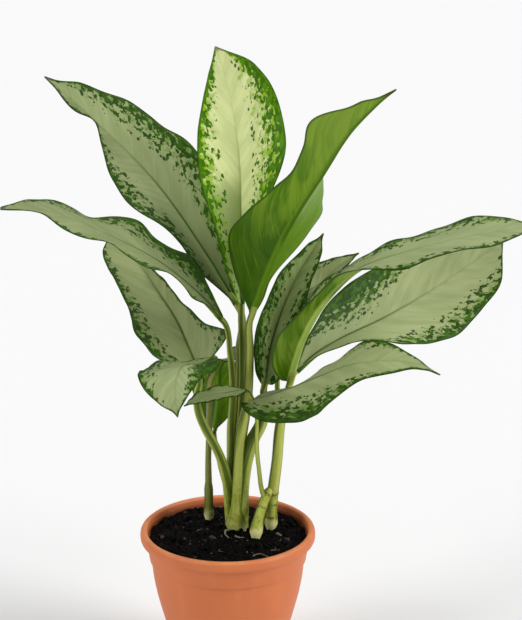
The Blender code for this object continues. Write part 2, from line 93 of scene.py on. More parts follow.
LEAVES = {
    "leaf_upper_left": blade(
        midrib=((8, 17, 325), (-19, 40, 364), (-62, 70, 418), (-105, 90, 458), (-128, 98, 478),
                (-156, 104, 501)),
        faces=((0.1, -1, 0.5), (0.2, -1, 0.6), (0.3, -1, 0.6)),
        left=(14, 22, 29, 14, 5), right=(8, 24, 44, 40, 15),
        rise_left=(50, 40, 10, -50, 0), rise_right=(10, 10, 8, -10, 0),
        band_left=(0.4, 0.5, 0.55, 0.4, 0.4), band_right=(0.3, 0.4, 0.6, 0.62, 0.4),
        bumps_left=((0.78, 0.05, -9), (0.64, 0.07, 4), (0.43, 0.1, 5), (0.15, 0.07, 6)),
        bumps_right=((0.9, 0.07, 2.5), (0.76, 0.05, 3), (0.61, 0.07, -5), (0.43, 0.06, 2.5)),
        paint="deep"),
    "leaf_top": blade(
        midrib=((12, 8, 328), (12, 28, 402), (11, 38, 439), (6, 46, 480), (-4, 50, 521), (-9, 50, 536)),
        faces=((0.0, -1, 0.2), (-0.15, -1, 0.2), (-0.3, -1, 0.1)),
        left=(11, 25, 34, 29, 13), right=(9, 23, 39, 43, 27),
        rise_left=(65, 40, 20, 10, 5), rise_right=(65, 50, 30, 12, 5),
        band_left=(0.5, 0.55, 0.5, 0.4, 0.4), band_right=(0.3, 0.45, 0.55, 0.5, 0.4),
        dense_left=(0, 0.1, 0.2, 0.3, 0.7), dense_right=(0, 0.3, 0.4, 0.4, 0.7),
        bumps_left=((0.72, 0.2, 2), (0.1, 0.12, 6)), bumps_right=((0.56, 0.09, 4), (0.93, 0.04, 3)),
        tail=0.1, paint="bright"),
    "leaf_front": blade(
        midrib=((21, -8, 324), (31, -18, 356), (43, -32, 390), (62, -48, 429), (75, -54, 451),
                (99, -56, 489), (129, -52, 519)),
        faces=((0.1, 1, 0.3), (-0.1, 1, 0.4), (-0.3, 1, 0.3)),
        left=(10, 29, 40, 32, 12), right=(21, 34, 41, 36, 28, 23, 24, 26, 13),
        rise_left=(20, 42, 56, 88, 80), rise_right=(20, 10, 5, 5, 5), wave=(1.5, 3, 0.3),
        bumps_left=((0.38, 0.06, 14), (0.48, 0.05, 3), (0.3, 0.05, 5), (0.17, 0.08, -9)),
        bumps_right=((0.68, 0.06, 2), (0.76, 0.05, 6), (0.86, 0.04, -3)), curl=(4, 0, 1.5),
        paint="silver"),
    "leaf_far_left": blade(
        midrib=((-4, -2, 319), (-18, -8, 337), (-53, -24, 373), (-100, -38, 403), (-143, -46, 422),
                (-178, -48, 424)),
        faces=((0.2, -0.5, 1), (0.1, -0.35, 1), (0.0, -0.25, 1)),
        left=(10, 28, 32, 26, 8), right=(10, 25, 33, 34, 16),
        rise_left=(20, 18, 18, 5, 10), rise_right=(45, 15, 0, -18, 10), wave=(4, 3.5, 0.1),
        band_left=(0.3, 0.3, 0.28, 0.25, 0.3), band_right=(0.45, 0.5, 0.5, 0.4, 0.4),
        dense_right=(0.7, 0.6, 0.1, 0, 0),
        bumps_left=((0.8, 0.1, -4.5),), bumps_right=((0.9, 0.1, 5), (0.74, 0.05, 3), (0.24, 0.05, 3)),
        paint="ashen"),
    "leaf_lower_left": blade(
        midrib=((-23, -6, 273), (-33, 16, 289), (-40, 32, 300), (-58, 66, 318), (-75, 96, 333),
                (-107, 134, 358)),
        faces=((0.2, -1, 0.7), (0.25, -1, 0.9), (0.2, -1, 1.0)),
        left=(28, 35, 37, 35, 32, 32, 31, 27, 19), right=(30, 20, 16, 13, 11, 9, 8, 6, 4),
        rise_left=(10, 5, 5, 5, 5), rise_right=(30, 45, 45, 40, 20),
        band_left=(0.55, 0.42, 0.34, 0.3, 0.3), band_right=(0.4, 0.2, 0.12, 0.1, 0.1),
        bumps_left=((0.7, 0.15, -2.5), (0.3, 0.08, 2.5)), bumps_right=((0.07, 0.05, 9), (0.2, 0.1, 1.5)),
        paint="grey"),
    "leaf_drooping": blade(
        midrib=((-12, -22, 291), (-21, -42, 293), (-31, -62, 299), (-36, -80, 301), (-39, -96, 294),
                (-39, -104, 283), (-37, -107, 270)),
        faces=((-0.2, -0.6, 1), (-0.15, -0.9, 0.8), (0, -1, 0.3)),
        left=(12, 18, 20, 18, 7), right=(12, 29, 35, 31, 11),
        rise_left=(20, 5, -5, -5, 0), rise_right=(0, -22, -20, -5, 0), wave=(1, 3, 0.2),
        band_left=(0.6, 0.6, 0.55, 0.4, 0.3), band_right=(0.5, 0.5, 0.5, 0.42, 0.3),
        dense_left=(1.5, 1.2, 0.6, 0.3, 0),
        bumps_right=((0.82, 0.07, 2), (0.25, 0.1, 4)), paint="silver"),
    "leaf_small_front": blade(
        midrib=((14, -16, 261), (1, -34, 265), (-15, -50, 268), (-34, -60, 263)),
        faces=((0, 0, 1), (0, 0, 1), (0, 0, 1)),
        left=(8, 14, 15, 12, 5), right=(8, 14, 15, 12, 5),
        rise_left=(20, 10, 0, 0, 0), rise_right=(20, 10, 0, 0, 0), wave=(1, 2, 0.2), paint="light"),
    "leaf_lower_right": blade(
        midrib=((18, -16, 248), (26, -25, 256), (36, -34, 263), (54, -48, 275), (77, -60, 289),
                (99, -70, 301), (127, -74, 306), (149, -74, 304), (172, -70, 293)),
        faces=((-0.6, -0.2, 0.7), (-0.1, -0.7, 1), (-0.1, -0.7, 1), (0.0, -0.5, 1), (0.1, -0.5, 1)),
        left=(12, 26, 28, 22, 6), right=(24, 33, 34, 17, 5),
        rise_left=(0, -46, -27, 4, 0), rise_right=(60, -5, 5, -5, 0), wave=(2, 2.5, 0.4),
        band_left=(0.15, 0.12, 0.22, 0.45, 0.4), band_right=(0.45, 0.5, 0.45, 0.25, 0.3),
        dense_right=(0.1, 0.4, 0.3, 0, 0),
        bumps_left=((0.42, 0.09, -6.5), (0.22, 0.05, 3)), bumps_right=((0.49, 0.06, 4), (0.66, 0.06, -3)),
        paint="light"),
    "leaf_right": blade(
        midrib=((58, -6, 274), (76, 10, 285), (92, 22, 291), (134, 50, 303), (174, 74, 319),
                (210, 90, 339), (239, 98, 358)),
        faces=((-0.2, -1, 0.6), (-0.3, -1, 0.6), (-0.3, -1, 0.5)),
        left=(14, 36, 41, 34, 12), right=(9, 27, 42, 43, 27),
        rise_left=(40, 20, 10, 5, 5), rise_right=(60, 45, 10, -5, 0), wave=(2, 2.5, 0.1),
        band_left=(0.3, 0.48, 0.42, 0.12, 0.1), band_right=(0.15, 0.18, 0.4, 0.48, 0.35),
        dense_left=(-0.9, 0.6, 0.5, 0, 0),
        bumps_left=((0.93, 0.05, 2),),
        bumps_right=((0.17, 0.06, 2.5), (0.33, 0.07, 3), (0.62, 0.07, 2.5), (0.8, 0.06, -2),
                (0.92, 0.05, 2)),
        tail=0.1, paint="pale"),
    "leaf_far_right": blade(
        midrib=((52, -15, 268), (56, -20, 285), (62, -28, 307), (75, -40, 338), (88, -48, 358),
                (104, -54, 375), (146, -60, 393), (193, -60, 405), (255, -54, 413)),
        faces=((-0.5, 0.8, 0.2), (-0.5, 0.6, 0.6), (0.0, -0.05, 1), (0, -0.1, 1), (0, -0.2, 1)),
        left=(16, 19, 22, 27, 18, 24, 31, 29, 18), right=(19, 15, 13, 12, 15, 21, 25, 23, 14),
        rise_left=(50, 60, 10, 5, 5), rise_right=(25, 40, -5, -5, 5), wave=(3, 3.5, 0.3),
        band_left=(0.4, 0.4, 0.5, 0.5, 0.4), band_right=(0.4, 0.4, 0.36, 0.32, 0.3),
        bumps_left=((0.62, 0.06, -2.5),), bumps_right=((0.03, 0.05, 8),), paint="silver", under="pale"),
    "leaf_spotted": blade(
        midrib=((32, 0, 260), (36, 10, 287), (44, 20, 312), (61, 32, 349), (81, 40, 380)),
        faces=((0.4, -1, 0.2), (0.3, -1, 0.3), (0.4, -1, 0.3)),
        left=(14, 22, 18, 17, 8), right=(12, 20, 20, 18, 8),
        rise_left=(40, 30, 20, 15, 10), rise_right=(50, 60, 62, 60, 30), wave=(1, 3, 0.2),
        band_left=(0.8, 0.75, 0.7, 0.6, 0.5), band_right=(0.6, 0.6, 0.6, 0.5, 0.4),
        dense_left=(0.3, 0.2, 0.1, 0, 0), dense_right=(0.15, 0.15, 0.1, 0, 0),
        bumps_left=((0.04, 0.08, 8), (0.2, 0.1, 1), (0.8, 0.1, -3)),
        bumps_right=((0.5, 0.12, 5), (0.08, 0.1, 9)), paint="shaded"),
    "leaf_inner": blade(
        midrib=((44, 18, 297), (56, 32, 318), (68, 40, 329), (79, 48, 334), (91, 56, 344), (112, 66, 356)),
        faces=((-0.4, -0.6, 1), (-0.4, -0.6, 1), (-0.3, -0.6, 1)),
        left=(10, 19, 22, 17, 6), right=(12, 20, 18, 12, 5),
        rise_left=(30, 20, 10, 5, 10), rise_right=(40, 30, 20, 10, 10), wave=(1, 3, 0.2),
        band_left=(0.6, 0.5, 0.45, 0.4, 0.3), band_right=(0.6, 0.5, 0.45, 0.4, 0.3),
        bumps_left=((0.08, 0.14, 9),), bumps_right=((0.08, 0.14, 6),), paint="grey"),
    "leaf_small_back": blade(
        midrib=((-11, 26, 211), (-8, 33, 233), (-7, 38, 250), (-6, 40, 262), (0, 38, 271), (13, 33, 275)),
        faces=((0.1, 1, 0.2), (0.1, 1, 0.3), (0.0, -0.8, 0.8)),
        left=(8, 12, 13, 14, 9), right=(10, 14, 15, 14, 8),
        rise_left=(20, 20, 20, 15, 10), rise_right=(20, 15, 10, 5, 10), wave=(1, 2, 0.2),
        band_left=(0.3, 0.3, 0.4, 0.4, 0.3), band_right=(0.3, 0.3, 0.4, 0.4, 0.3),
        bumps_left=((0.4, 0.2, 4),), bumps_right=((0.45, 0.25, 10),), paint="silver"),
}

# How finely the blades are built, and their relief: a ripple along the margin, a quilting between the
# side veins, a groove over the midrib, and how the side veins lean towards the tip and arch
BLADE_STEPS = (44, 120)
SMALL_BLADE_STEPS = (36, 70)
CROWDING = 1.5
BASE_HALF_WIDTH = 1.8
TIP_HALF_WIDTH = 0.6
TAIL_AT = (0.9, 0.975)
CURL_FROM = 0.94
CURL_LENGTH = 0.06
WAVE_SHIFT = 0.45
WAVE_FADE = 0.7
LEAF_RIPPLE = 0.5
RIPPLES = 8.3
RIPPLE_SHIFT = 0.3
LEAF_QUILT = 0.22
QUILT_FROM = 6
MIDRIB_GROOVE = 0.5
GROOVE_WIDTH = 0.9
VEIN_LEAN = 1.3
VEIN_ARCH = 0.75
VEIN_SHIFT = 0.37
BLOTCH_LEAN = 0.45
# How far apart the two halves of a blade, and two blades, lie in the paint's patterns
HALVES_APART = 60
VEINS_APART = 300
BLOTCHES_APART = 40

# The blades' paints: what the settings' silver, green and dark are multiplied by, and blade_paint's
# other values where they aren't the usual ones. The youngest blade has a centre of its own, paler,
# and painted brighter still as painted light, for the light that comes through it from behind.
GREYED = (0.8, 0.85, 0.85)
# foot is how far each blade's foot is painted darker, as painted shade
BLADE_PAINTS = {
    "silver": dict(name="silver_blade", silver=(0.94, 0.94, 0.94)),
    "deep": dict(name="deep_footed_blade", silver=(0.92, 0.92, 0.9), green=GREYED, spots=0.02, foot=0.9),
    "ashen": dict(name="ashen_blade", silver=(0.76, 0.76, 0.74), green=GREYED, spots=0.01, foot=0.5),
    "light": dict(name="light_footed_blade", silver=(1.0, 0.99, 0.96), foot=0.0),
    "pale": dict(name="pale_blade", silver=(1.1, 1.06, 1.08), spots=0.015, clear=0.1, foot=0.3),
    "grey": dict(name="grey_blade", silver=(0.86, 0.84, 0.78), green=GREYED, spots=0.02, clear=0.1, foot=0.2),
    # a darker copy of the silver paint: painted shade over a whole blade
    "shaded": dict(name="spotted_blade", silver=(0.8, 0.86, 0.68), green=(0.7, 0.85, 0.6),
                   dark=(0.8, 0.9, 0.6), clear=0.1, foot=0.0),
    "bright": dict(name="bright_blade", centre="bright", green=(2.3, 2.2, 0.35), dark=(2.2, 2.7, 0.5),
                   spots=-0.035, clear=-0.1, foot=0.65, line=0.3, shadow=0.75),
}

# Each shoot: the middle that its stalks' channels face, the heights of its node rings, its paint (name,
# and how yellow, bright and bleached it is), its canes, as (foot x, foot y), route above the soil and
# radii along it, and its leaf stalks, each with the leaf it carries.
SOIL_EDGE = 121.5
ROOT_DEPTH = 26.0
SHOOTS = {
    "shoot_main": dict(
        middle=(9, 12, 0), rings=(139, 148, 154, 160, 167), paint=("old_stalk", 0.0, 0.88, 0.2),
        canes=(
            dict(foot=(7, 18), flare=0.0, leaf=None, radii=(9.8, 9.8, 9.8, 9.0, 7.0),
                 route=((8, 17, 153), (9, 15, 177))),
        ),
        stalks=(
            dict(leaf="leaf_far_left", radii=(4.2, 4.0, 3.6, 3.0, 2.8, 2.4),
                 route=((3, 14, 159), (3, 10, 188), (3, 5, 217), (5, 0, 255), (3, -3, 287))),
            dict(leaf="leaf_upper_left", radii=(4.5, 4.0, 3.6, 3.2, 2.8),
                 route=((6, 17, 157), (6, 20, 193), (9, 21, 238), (10, 19, 284))),
            dict(leaf="leaf_top", radii=(4.5, 4.0, 3.6, 3.2, 2.8),
                 route=((9, 16, 158), (10, 14, 195), (13, 14, 241), (13, 11, 287))),
            dict(leaf="leaf_front", radii=(5.0, 4.5, 4.0, 3.5, 2.8),
                 route=((11, 12, 159), (11, 6, 199), (17, 0, 246), (19, -6, 292))),
            dict(leaf="leaf_lower_left", radii=(5.0, 4.5, 4.2, 4.0, 4.0, 3.6, 3.0, 2.6),
                 route=((1, 14, 143), (0, 8, 166), (-4, 2, 188), (-11, -6, 209), (-18, -10, 224),
                        (-24, -13, 242), (-25, -12, 255))),
            dict(leaf="leaf_lower_right", radii=(5.5, 5.0, 4.8, 4.4, 4.2, 3.6, 2.8),
                 route=((7, 12, 132), (8, 8, 155), (9, 4, 176), (10, 0, 200), (12, -6, 221), (14, -10, 233))),
            dict(leaf="leaf_spotted", radii=(5.0, 5.5, 5.5, 5.0, 3.8, 2.8),
                 route=((13, 10, 170), (16, 6, 188), (21, 2, 208), (29, 0, 226), (32, 0, 241))),
            dict(leaf="leaf_small_back", radii=(3.4, 2.8, 2.4, 2.2, 2.0),
                 route=((3, 19, 146), (-3, 21, 166), (-8, 22, 186))),
        )),
    "shoot_left": dict(
        # the thin cane's paint is dimmed to half: painted shade
        rings=(157,), paint=("thin_cane", -0.2, 0.5, 0.9),
        canes=(
            dict(foot=(-17, 31), leaf="leaf_drooping",
                 radii=(3.8, 3.8, 3.8, 3.9, 3.0, 2.6, 2.6, 2.6, 2.6, 2.4),
                 route=((-17, 29, 154), (-17, 28, 160), (-17, 26, 182), (-16, 18, 208), (-15, 0, 241),
                        (-14, -14, 269))),
        ),
        stalks=()),
    "shoot_right": dict(
        middle=(30, 8, 0), rings=(136, 148, 158), paint=("young_stalk", 0.4, 0.9, 0.9),
        canes=(
            dict(foot=(37, 12), radii=(5.0, 5.0, 5.0, 5.0, 4.5, 4.4, 3.8, 3.0), leaf="leaf_far_right",
                 route=((38, 11, 151), (42, 7, 189), (44, 2, 218), (48, -6, 247))),
            dict(foot=(24, -7), radii=(5.0, 5.0, 5.0, 4.6, 4.4, 3.8), leaf=None,
                 route=((26, -3, 138), (31, 4, 152), (37, 9, 164))),
        ),
        stalks=(
            dict(leaf="leaf_small_front", radii=(2.4, 2.0, 1.8, 1.8, 1.8, 1.8, 1.8, 1.8),
                 route=((32, 6, 153), (29, 2, 164), (27, -4, 182), (25, -8, 206), (25, -8, 218), (25, -6, 232),
                        (20, -8, 252))),
            dict(leaf="leaf_right", radii=(3.0, 3.0, 2.8, 2.4),
                 route=((44, 3, 212), (47, 0, 232), (52, -4, 254))),
            dict(leaf="leaf_inner", radii=(2.8, 2.6, 2.4, 2.2, 2.0),
                 route=((44, 4, 212), (43, 8, 234), (42, 14, 259), (43, 18, 284))),
        )),
}
STEM_SIDES = 24
STEM_STEP = 2.5
STEM_RIBS = 0.025
STEM_RIB_COUNT = 7
RIB_LENGTH = 31
NODE_SWELL = 0.07
NODE_SPREAD = 0.8
FLARE = 0.16
FLARE_HEIGHT = 9
FLARE_SPREAD = 6
CHANNEL_SPREAD = 0.5
WING_AT = 0.75
WING_SPREAD = 0.2
STEMS_APART = 40
UNDER_BLADE = 1.5
STRAIGHT_END = 5.3

# The sheathing feet of three stalks, which reach down into the main cane's foot: the points, and the
# radii at them, that take the place of the stalk's first one
STALK_FEET = {
    "leaf_lower_right": (((7.5, 13.8, 117), (7.5, 13.8, 125), (7.6, 13.2, 131), (7.8, 12.2, 138),
                          (8, 10.8, 147)),
                         (10.0, 10.1, 9.6, 7.8, 6.2)),
    "leaf_lower_left": (((5, 17, 122), (3, 15.5, 136)), (6.5, 6.0)),
    "leaf_spotted": (((9, 15, 124), (11, 13, 142), (12, 11.5, 158)), (8.0, 7.0, 6.0)),
}

# Pot: a wall from the flat bottom up to its shoulder, then (radius, height) points of the wider band,
# the rolled lip and the mouth inside it
BASE_RADIUS = 42.5
WALL = 2.5
FLOOR = 3.0
SHOULDER_HEIGHT = 102.0
SHOULDER_RADIUS = 65.6
WALL_BULGE = 2.4
BOTTOM_CORNER = ((0, 0), (38, 0), (40.6, 0.1), (41.7, 0.5), (42.3, 1.3))
BAND = ((65.9, 102.3), (66.8, 102.7), (67.2, 103.5), (67.6, 106), (68.6, 113), (69.8, 118.2), (70.3, 119.1))
LIP = ((71.2, 119.7), (72.8, 120.1), (74.2, 121), (74.9, 122.6), (75, 125), (74.8, 127.2), (74.1, 128.8),
       (72.9, 129.8), (71.4, 130), (70.2, 129.8), (69.3, 129), (68.8, 127.4), (68.6, 124))
MOUTH_RADIUS = 68.6
MOUTH_HEIGHT = 124.0
DRAIN_RADIUS = 4.0
DRAIN_CIRCLE = 27.0
DRAIN_COUNT = 5
# The drills are turned a touch, so that none of their corners meets the seam of the pot's mesh
DRILL_TURN = 0.04
WALL_HEIGHTS = (3, *range(8, 100, 8), 101)
INNER_HEIGHTS = (116, 109, 102, *range(95, 7, -8), FLOOR + 2)
SHARP_EDGE = 40

# Soil: (radius, height) points of its hidden sides, the radius of its top, and how that mounds
SOIL_SIDES = ((0, 3.4), (38, 3.4), (46, 30), (57, 75), (62.3, 102))
SOIL_RADIUS = 66.9
SOIL_RINGS = 64
SOIL_STEPS = 200
MOUND = 2.5
MOUND_RADIUS = 68.7
STREWN_RADIUS = 65

# What is strewn on the soil, by the random draws' order: its name, its shapes' name, how many shapes
# there are and how flat, how many pieces lie there (0 is the panel's number), their smallest and
# largest size, how deep they sink, as a share of it, and what they are made of
STREWN = (
    ("loose_crumbs", "lump", 6, 1.0, 0, (0.7, 2.3), 0.2, "dark"),
    ("clods", "clod", 5, 0.8, 90, (2.4, 4.2), 0.35, "dark"),
    ("bark", "chip", 4, 0.35, 40, (0.9, 2.4), 0.0, "bark"),
    ("grit", "grain", 3, 1.0, 34, (0.3, 0.6), 0.0, "grit"),
)

# Root threads and dry scraps of husk on the soil: radius, and points as (x, y, height above the soil)
ROOTS = (
    (0.45, ((20, -48, 0), (27, -44, 2.2), (34, -45, 1.6), (37, -50, 0))),
    (0.3, ((37, -34, 0), (41, -31, 1.0), (40, -27, 0))),
    (0.3, ((-14, -40, 0), (-8, -37, 1.2), (-3, -38, 0))),
    (0.25, ((-30, 4, 0), (-24, 7, 1.0), (-22, 12, 0))),
    (1.1, ((1, 3, 0.5), (-2, -1, 1.5), (-2, -6, 0.6), (1, -9, 0))),
    (0.9, ((6, -9, 0), (10, -10, 0.6), (14, -9, 0))),
    (1.2, ((42, 0, 1.5), (45, -4, 1.2), (46, -7, 0))),
)

# Stage: each light's direction, its share of the side light, its softness in degrees and its tint, and
# the camera, which looks down at the plant as in the photo
LIGHTS = {
    "right_light": ((1.0, -0.35, 0.6), 1.25, 30, (1.0, 1.0, 0.99)),
    "left_light": ((-1.0, -0.5, 0.6), 0.72, 30, (1.0, 0.995, 0.98)),
    "top_light": ((0.1, 0.3, 1.0), 0.5, 50, (1.0, 1.0, 1.0)),
}
CAMERA_PLACE = (0.0284, -1.580, 0.8166)
CAMERA_LENS = 116.0
CAMERA_DIP = 17.28
STAGE_RADIUS = 14.0
BELOW_POT = 0.0004


def shade(red, green, blue):
    """A colour given in 0 to 255, as Blender's linear colour."""
    return tuple(c / 12.92 if c <= 0.04045 else ((c + 0.055) / 1.055) ** 2.4
                 for c in (red / 255, green / 255, blue / 255))


def colour(name, description, default):
    return FloatVectorProperty(name=name, description=description, subtype="COLOR", size=3, min=0.0, max=1.0,
                               default=shade(*default))


def length(name, description, default):
    return FloatProperty(name=name, description=description, default=default, min=0.0, unit="LENGTH")


class LeafSettings(bpy.types.PropertyGroup):
    thickness: length("Thickness", "Thickness of a blade between its veins", 0.0008)
    rib: length("Midrib", "How far the midrib stands out under the blade's base", 0.0019)
    veins: IntProperty(name="Side veins", description="Side veins on each half of a blade", default=13, min=4)
    silver: colour("Silver centre", "The pale middle of a blade", (156, 168, 120))
    green: colour("Green margin", "The green band round a blade", (96, 128, 42))
    dark: colour("Dark blotches", "The blotches and spots in the green band", (38, 66, 14))
    # the bright centre is paler than the silver, and painted brighter still: painted light through the blade
    # from behind
    bright: colour("Bright centre", "The middle of the youngest, topmost blade", (230, 238, 172))
    under: colour("Underside", "The plain green underside of a blade", (112, 146, 28))


class ShootSettings(bpy.types.PropertyGroup):
    channel: FloatProperty(name="Channel", default=0.38, min=0.0, max=0.6,
                           description="Depth of a leaf stalk's channel, as a share of its radius")
    green: colour("Stalk green", "Leaf stalks", (160, 172, 74))
    rib: colour("Midrib", "The stalk where it runs on as a blade's midrib", (140, 158, 70))
    pale: colour("Pale foot", "The foot of each cane, where it leaves the soil", (228, 224, 160))
    scar: colour("Scars", "Brown scars and nodes on the canes", (84, 62, 30))


class SoilSettings(bpy.types.PropertyGroup):
    crumbs: IntProperty(name="Crumbs", description="Loose crumbs lying on the soil", default=560, min=0)
    seed: IntProperty(name="Seed", description="Which scatter of crumbs is used", default=7)
    dark: colour("Soil", "Moist potting soil", (11, 9, 8))
    bark: colour("Bark", "Bits of bark", (66, 44, 28))
    grit: colour("Grit", "Pale grit", (172, 164, 138))
    husk: colour("Husk", "Root threads and dry scraps of husk", (140, 136, 116))


class PotSettings(bpy.types.PropertyGroup):
    sides: IntProperty(name="Sides", description="Steps round the pot's wall", default=144, min=32)
    clay: colour("Clay colour", "Terracotta-coloured plastic", (202, 113, 66))
    # worn_and_lit: the colour of real rubbed patches, and of the painted highlight along the lip's top
    worn_and_lit: colour("Worn edges", "Lighter, rubbed places on the lip", (228, 148, 98))
    # wall_shade: painted shade on the inner wall just above the soil
    wall_shade: colour("Damp wall", "The inside of the wall, stained by the soil", (112, 58, 36))


class StageSettings(bpy.types.PropertyGroup):
    floor: colour("Floor", "The plain floor", (235, 235, 236))
    side: FloatProperty(name="Side light", default=1.75, min=0.0,
                        description="Strength of the soft lights from both sides")
    sky: FloatProperty(name="Sky", default=0.36, min=0.0,
                       description="Strength of the even white light all round")


class EvergreenSettings(bpy.types.PropertyGroup):
    leaves: PointerProperty(type=LeafSettings, name="Leaves", description="Sizes and colours of the blades")
    shoots: PointerProperty(type=ShootSettings, name="Shoots", description="Sizes and colours of the stalks")
    soil: PointerProperty(type=SoilSettings, name="Soil", description="What lies on the soil")
    pot: PointerProperty(type=PotSettings, name="Pot", description="Colours of the pot")
    stage: PointerProperty(type=StageSettings, name="Stage", description="Floor and lights")


# Curves

def through(places, values, wanted):
    """A smooth curve through values at the given places, read at the wanted places."""
    places = np.array(places, float)
    values = np.array(values, float).reshape(len(places), -1)
    wanted = np.array(wanted, float)
    slopes = np.gradient(values, places, axis=0)
    low = np.clip(np.searchsorted(places, wanted, side="right") - 1, 0, len(places) - 2)
    span = (places[low + 1] - places[low])[:, None]
    t = (wanted - places[low])[:, None] / span
    start, end = values[low], values[low + 1]
    leave, arrive = slopes[low] * span, slopes[low + 1] * span
    return (start * (2 * t**3 - 3 * t**2 + 1) + leave * (t**3 - 2 * t**2 + t)
            + end * (3 * t**2 - 2 * t**3) + arrive * (t**3 - t**2))


def running_length(points):
    return np.concatenate([[0], np.cumsum(np.linalg.norm(np.diff(points, axis=0), axis=1))])


def along_curve(points, shares):
    """Points on a smooth curve through the given ones, at shares of its length."""
    points = np.array(points, float)
    chord = running_length(points)
    fine = through(chord, points, np.linspace(0, chord[-1], 400))
    run = running_length(fine)
    return through(run, fine, np.array(shares) * run[-1])


def eased(value, low, high):
    """0 below low, 1 above high, and a smooth change between them."""
    t = np.clip((value - low) / (high - low), 0, 1)
    return t * t * (3 - 2 * t)


def inner_box():
    """The CAD model's box, a touch smaller, so that nothing of the visual model leaves it."""
    low, high = (np.array(corner) for corner in CAD_BOX)
    return low + BOX_PLAY, high - BOX_PLAY


def unit(vectors):
    return vectors / np.linalg.norm(vectors, axis=-1, keepdims=True)


# Making and finishing meshes

def deselect():
    bpy.ops.object.select_all(action="DESELECT")


def pick(*pieces):
    """Selects these pieces alone, the first one active."""
    deselect()
    for piece in pieces:
        piece.select_set(True)
    bpy.context.view_layer.objects.active = pieces[0]


def named(name):
    piece = bpy.context.object
    piece.name = name
    piece.data.name = name
    return piece


def primitive(name, operator, **settings):
    """A new mesh piece, made by one of Blender's own primitives."""
    deselect()
    operator(**settings)
    return named(name)


def add_object(name, data):
    piece = bpy.data.objects.new(name, data)
    bpy.context.scene.collection.objects.link(piece)
    return piece


def joined(name, pieces):
    """One piece made of several."""
    pick(*pieces)
    if len(pieces) > 1:
        bpy.ops.object.join()
    return named(name)


def positions(mesh):
    flat = np.zeros(len(mesh.vertices) * 3)
    mesh.vertices.foreach_get("co", flat)
    return flat.reshape(-1, 3)


def place_vertices(mesh, points):
    mesh.vertices.foreach_set("co", np.asarray(points, float).ravel())
    mesh.update()


def modify(piece, kind, **settings):
    """Adds a modifier and applies it."""
    pick(piece)
    modifier = piece.modifiers.new(kind.lower(), kind)
    for key, value in settings.items():
        setattr(modifier, key, value)
    bpy.ops.object.modifier_apply(modifier=modifier.name)


def grid_over(name, across, along, surface):
    """A primitive grid moved onto a surface, which is an array of [along][across] points in millimetres.

    Returns the piece, and each vertex's column and row."""
    piece = primitive(name, bpy.ops.mesh.primitive_grid_add, size=2, x_subdivisions=across,
                      y_subdivisions=along)
    flat = positions(piece.data)
    column = np.rint((flat[:, 0] + 1) / 2 * across).astype(int)
    row = np.rint((flat[:, 1] + 1) / 2 * along).astype(int)
    place_vertices(piece.data, surface[row, column] * MM)
    return piece, column, row


def three(*numbers):
    """Three numbers for each point of a row, any of which may be the same all along it."""
    return np.stack(np.broadcast_arrays(*numbers), axis=1)


def write_values(piece, name, values):
    """Stores three numbers on each vertex, for the piece's paint to read."""
    mesh = piece.data
    attribute = mesh.attributes.get(name) or mesh.attributes.new(name, "FLOAT_VECTOR", "POINT")
    attribute.data.foreach_set("vector", np.asarray(values, float).ravel())


MERGE = (bpy.ops.mesh.remove_doubles, dict(threshold=0.00001))
CLOSE = (bpy.ops.mesh.fill_holes, dict(sides=0))
OUTWARD = (bpy.ops.mesh.normals_make_consistent, dict(inside=False))


def edit(piece, *steps):
    """Runs edit-mode operators on all of a piece: each step is an operator with its settings."""
    pick(piece)
    bpy.ops.object.mode_set(mode="EDIT")
    for operator, settings in steps:
        bpy.ops.mesh.select_all(action="SELECT")
        operator(**settings)
    bpy.ops.object.mode_set(mode="OBJECT")


def hand_over(piece, slot, *nodes):
    """Smooths a finished piece, lets it ride, and puts it in place of its CAD nodes."""
    pick(piece)
    bpy.ops.object.shade_smooth()
    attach(piece, "root")
    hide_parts(*nodes)


# Paints

